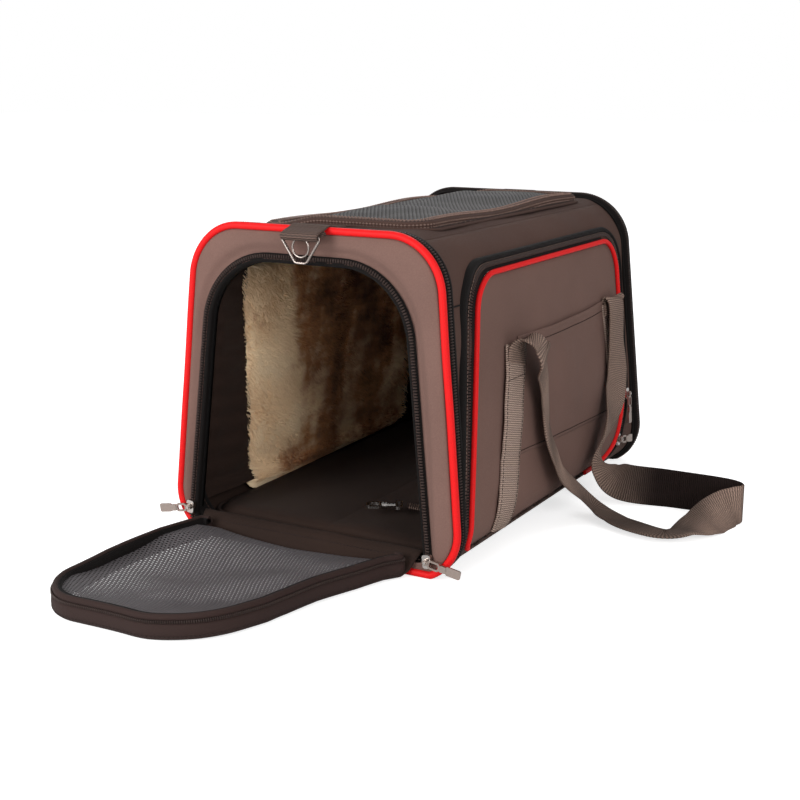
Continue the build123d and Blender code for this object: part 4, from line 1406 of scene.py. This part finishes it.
def make_fleece():
    """The plush on the left wall: a soft pad and its combed pile."""
    corners = [(-134.0, 8.0), (180.0, 14.0), (176.0, 250.0), (-168.0, 250.0)]
    centre = (0.0, 138.0)
    outline = polar(rounded(corners, [10.0, 26.0, 26.0, 10.0]), centre, all_round(260))
    rows, share = disc_patch(outline, centre, 30)
    y, v = rows[..., 0], rows[..., 1]
    edge = (1 - np.clip(1 - share * 8, 0, 1) ** 2)[:, None] ** 0.5
    flat = flank(y, v)
    lumps = ripple(flat, 42.0, 3.0, 4.0) + ripple(flat, 13.0, 1.2, 6.0)
    inner = flank(y, v, -10.0 - (8.5 + lumps) * edge)
    outer = flank(y, v, -9.0 + 0 * y)
    batch = Batch().grid(wrapped(inner))
    batch.grid(wrapped(outer)[:, ::-1])
    batch.mirror()
    pad = batch.build("fleece_pad", "carrier", [FLEECE], "fleece", ("fleece_lining",), weld=True)

    count = 26000
    y = RANDOM.uniform(-168, 178, count)
    v = RANDOM.uniform(9, 249, count)
    keep = inside(np.stack([y, v], 1), grown(outline, -3.0))
    y, v = y[keep], v[keep]
    foot = flank(y, v, -15.0)
    lean_y = noise_field(y, v, 60.0, 1.0) * 7.0
    lean_v = -4.0 + noise_field(y, v, 50.0, 5.0) * 7.0
    tip = flank(y + lean_y + RANDOM.normal(0, 1.5, len(y)), v + lean_v + RANDOM.normal(0, 1.5, len(y)),
                -21.5 + RANDOM.normal(0, 1.2, len(y)))
    side_way = unit(np.cross(tip - foot, [1.0, 0, 0])) * 0.55
    middle = foot * 0.45 + tip * 0.55 + [-1.0, 0, 0]
    verts = np.stack([foot - side_way, foot + side_way, middle + side_way * 0.8,
                      middle - side_way * 0.8, tip], 1)
    base = np.arange(len(foot))[:, None] * 5
    quads = base + np.array([0, 1, 2, 3])
    tips = base + np.array([3, 2, 4])
    batch = Batch()
    batch.add(verts.reshape(-1, 3), quads, np.zeros((len(quads) * 4, 2)))
    batch.faces += tips.tolist()
    batch.uvs.append(np.zeros((len(tips) * 3, 2)))
    batch.mats += [0] * len(tips)
    batch.mirror()
    batch.build("fleece_pile", "carrier", [FLEECE], "fleece")


def noise_field(y, v, size, seed):
    """Slow seeded noise over the side's plane."""
    return np.array([noise.noise(Vector((a / size, b / size, seed))) for a, b in zip(y, v)])


# ---- metal parts ---------------------------------------------------------------------------------
def make_rings():
    """The two wire rings with their eyes, and the webbing tabs that carry them."""
    for name, sign in (("front", -1.0), ("rear", 1.0)):
        low, high = box_mm(name + "_ring")
        bar_y = (low[1] + high[1]) / 2
        bar_z = high[2] - RING_WIRE_R
        foot_z = bar_z - RING_DROP
        outline = rounded([(-5.5, foot_z), (5.5, foot_z), (21.0, bar_z), (-21.0, bar_z)],
                          [4.0, 4.0, 2.6, 2.6], 300)
        path = np.stack([outline[:, 0], 0 * outline[:, 0] + bar_y, outline[:, 1]], 1)
        batch = Batch().tube(path, 1.25, closed=True, sides=12)
        turn = np.linspace(0, 2 * math.pi, 72, endpoint=False)
        eye = np.stack([8.2 * np.cos(turn), 0 * turn + bar_y, bar_z - 9.8 + 8.2 * np.sin(turn)], 1)
        batch.tube(eye, 0.95, closed=True, sides=10)
        batch.build(name + "_ring_wire", name + "_ring", [RING_METAL], "ring_metal", (name + "_ring",))

        # over the top cover and the piping, round the ring's bar and back under: (distance, z)
        points = [(186.0, HEIGHT + 1.6), (200.0, HEIGHT + 2.6), (212.0, HEIGHT + 4.6),
                  (220.0, HEIGHT + 2.2), (228.0, bar_z + 3.0), (232.4, bar_z), (229.0, bar_z - 3.4),
                  (224.5, bar_z - 1.0), (220.0, bar_z + 3.0), (217.5, HEIGHT - 3.0)]
        line = spline(points, 90)
        path = np.stack([0 * line[:, 0], sign * line[:, 0], line[:, 1]], 1)
        batch = Batch()
        ribbon(batch, path, np.tile([sign * -1.0, 0, 0], (len(path), 1)), rib=0.14, thick=1.9)
        batch.build(name + "_tab_webbing", "carrier", [TAB_WEB], "webbing", (name + "_ring_tab",))


def dress_cad():
    """Materials for the CAD pieces that are shown as they are."""
    for name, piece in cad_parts.items():
        if piece.hide_render:
            continue
        if name.endswith("_pull") or "_pull_" in name:
            finish, slot = SATIN, "slider_metal"
        elif "slider" in name:
            finish, slot = CHROME, "slider_metal"
        elif "tether" in name:
            finish, slot = CHROME, "ring_metal"
        elif "wire_frame" in name:
            finish, slot = STEEL, "spring_wire"
        else:
            finish, slot = BOARD, "board"
        piece.data.materials.clear()
        piece.data.materials.append(finish)


make_stage()
make_top_cover()
for each_side in ("right", "left"):
    make_side_cover(each_side)
make_base_cover()
make_front_panel()
make_rear_panel()
make_piping()
make_door_zip()
make_door_rim()
make_door_net()
make_door_hinge()
for each_side in ("right", "left"):
    make_panel(each_side)
    make_pocket(each_side)
    make_runs(each_side)
    make_panel_zip(each_side)
    make_gusset(each_side)
    make_handle(each_side)
make_flap_frame()
make_flap_net()
make_top_zip()
make_floor_pad()
make_fleece()
make_lining_strip()
make_sleeves()
make_tether()
make_rings()
dress_cad()
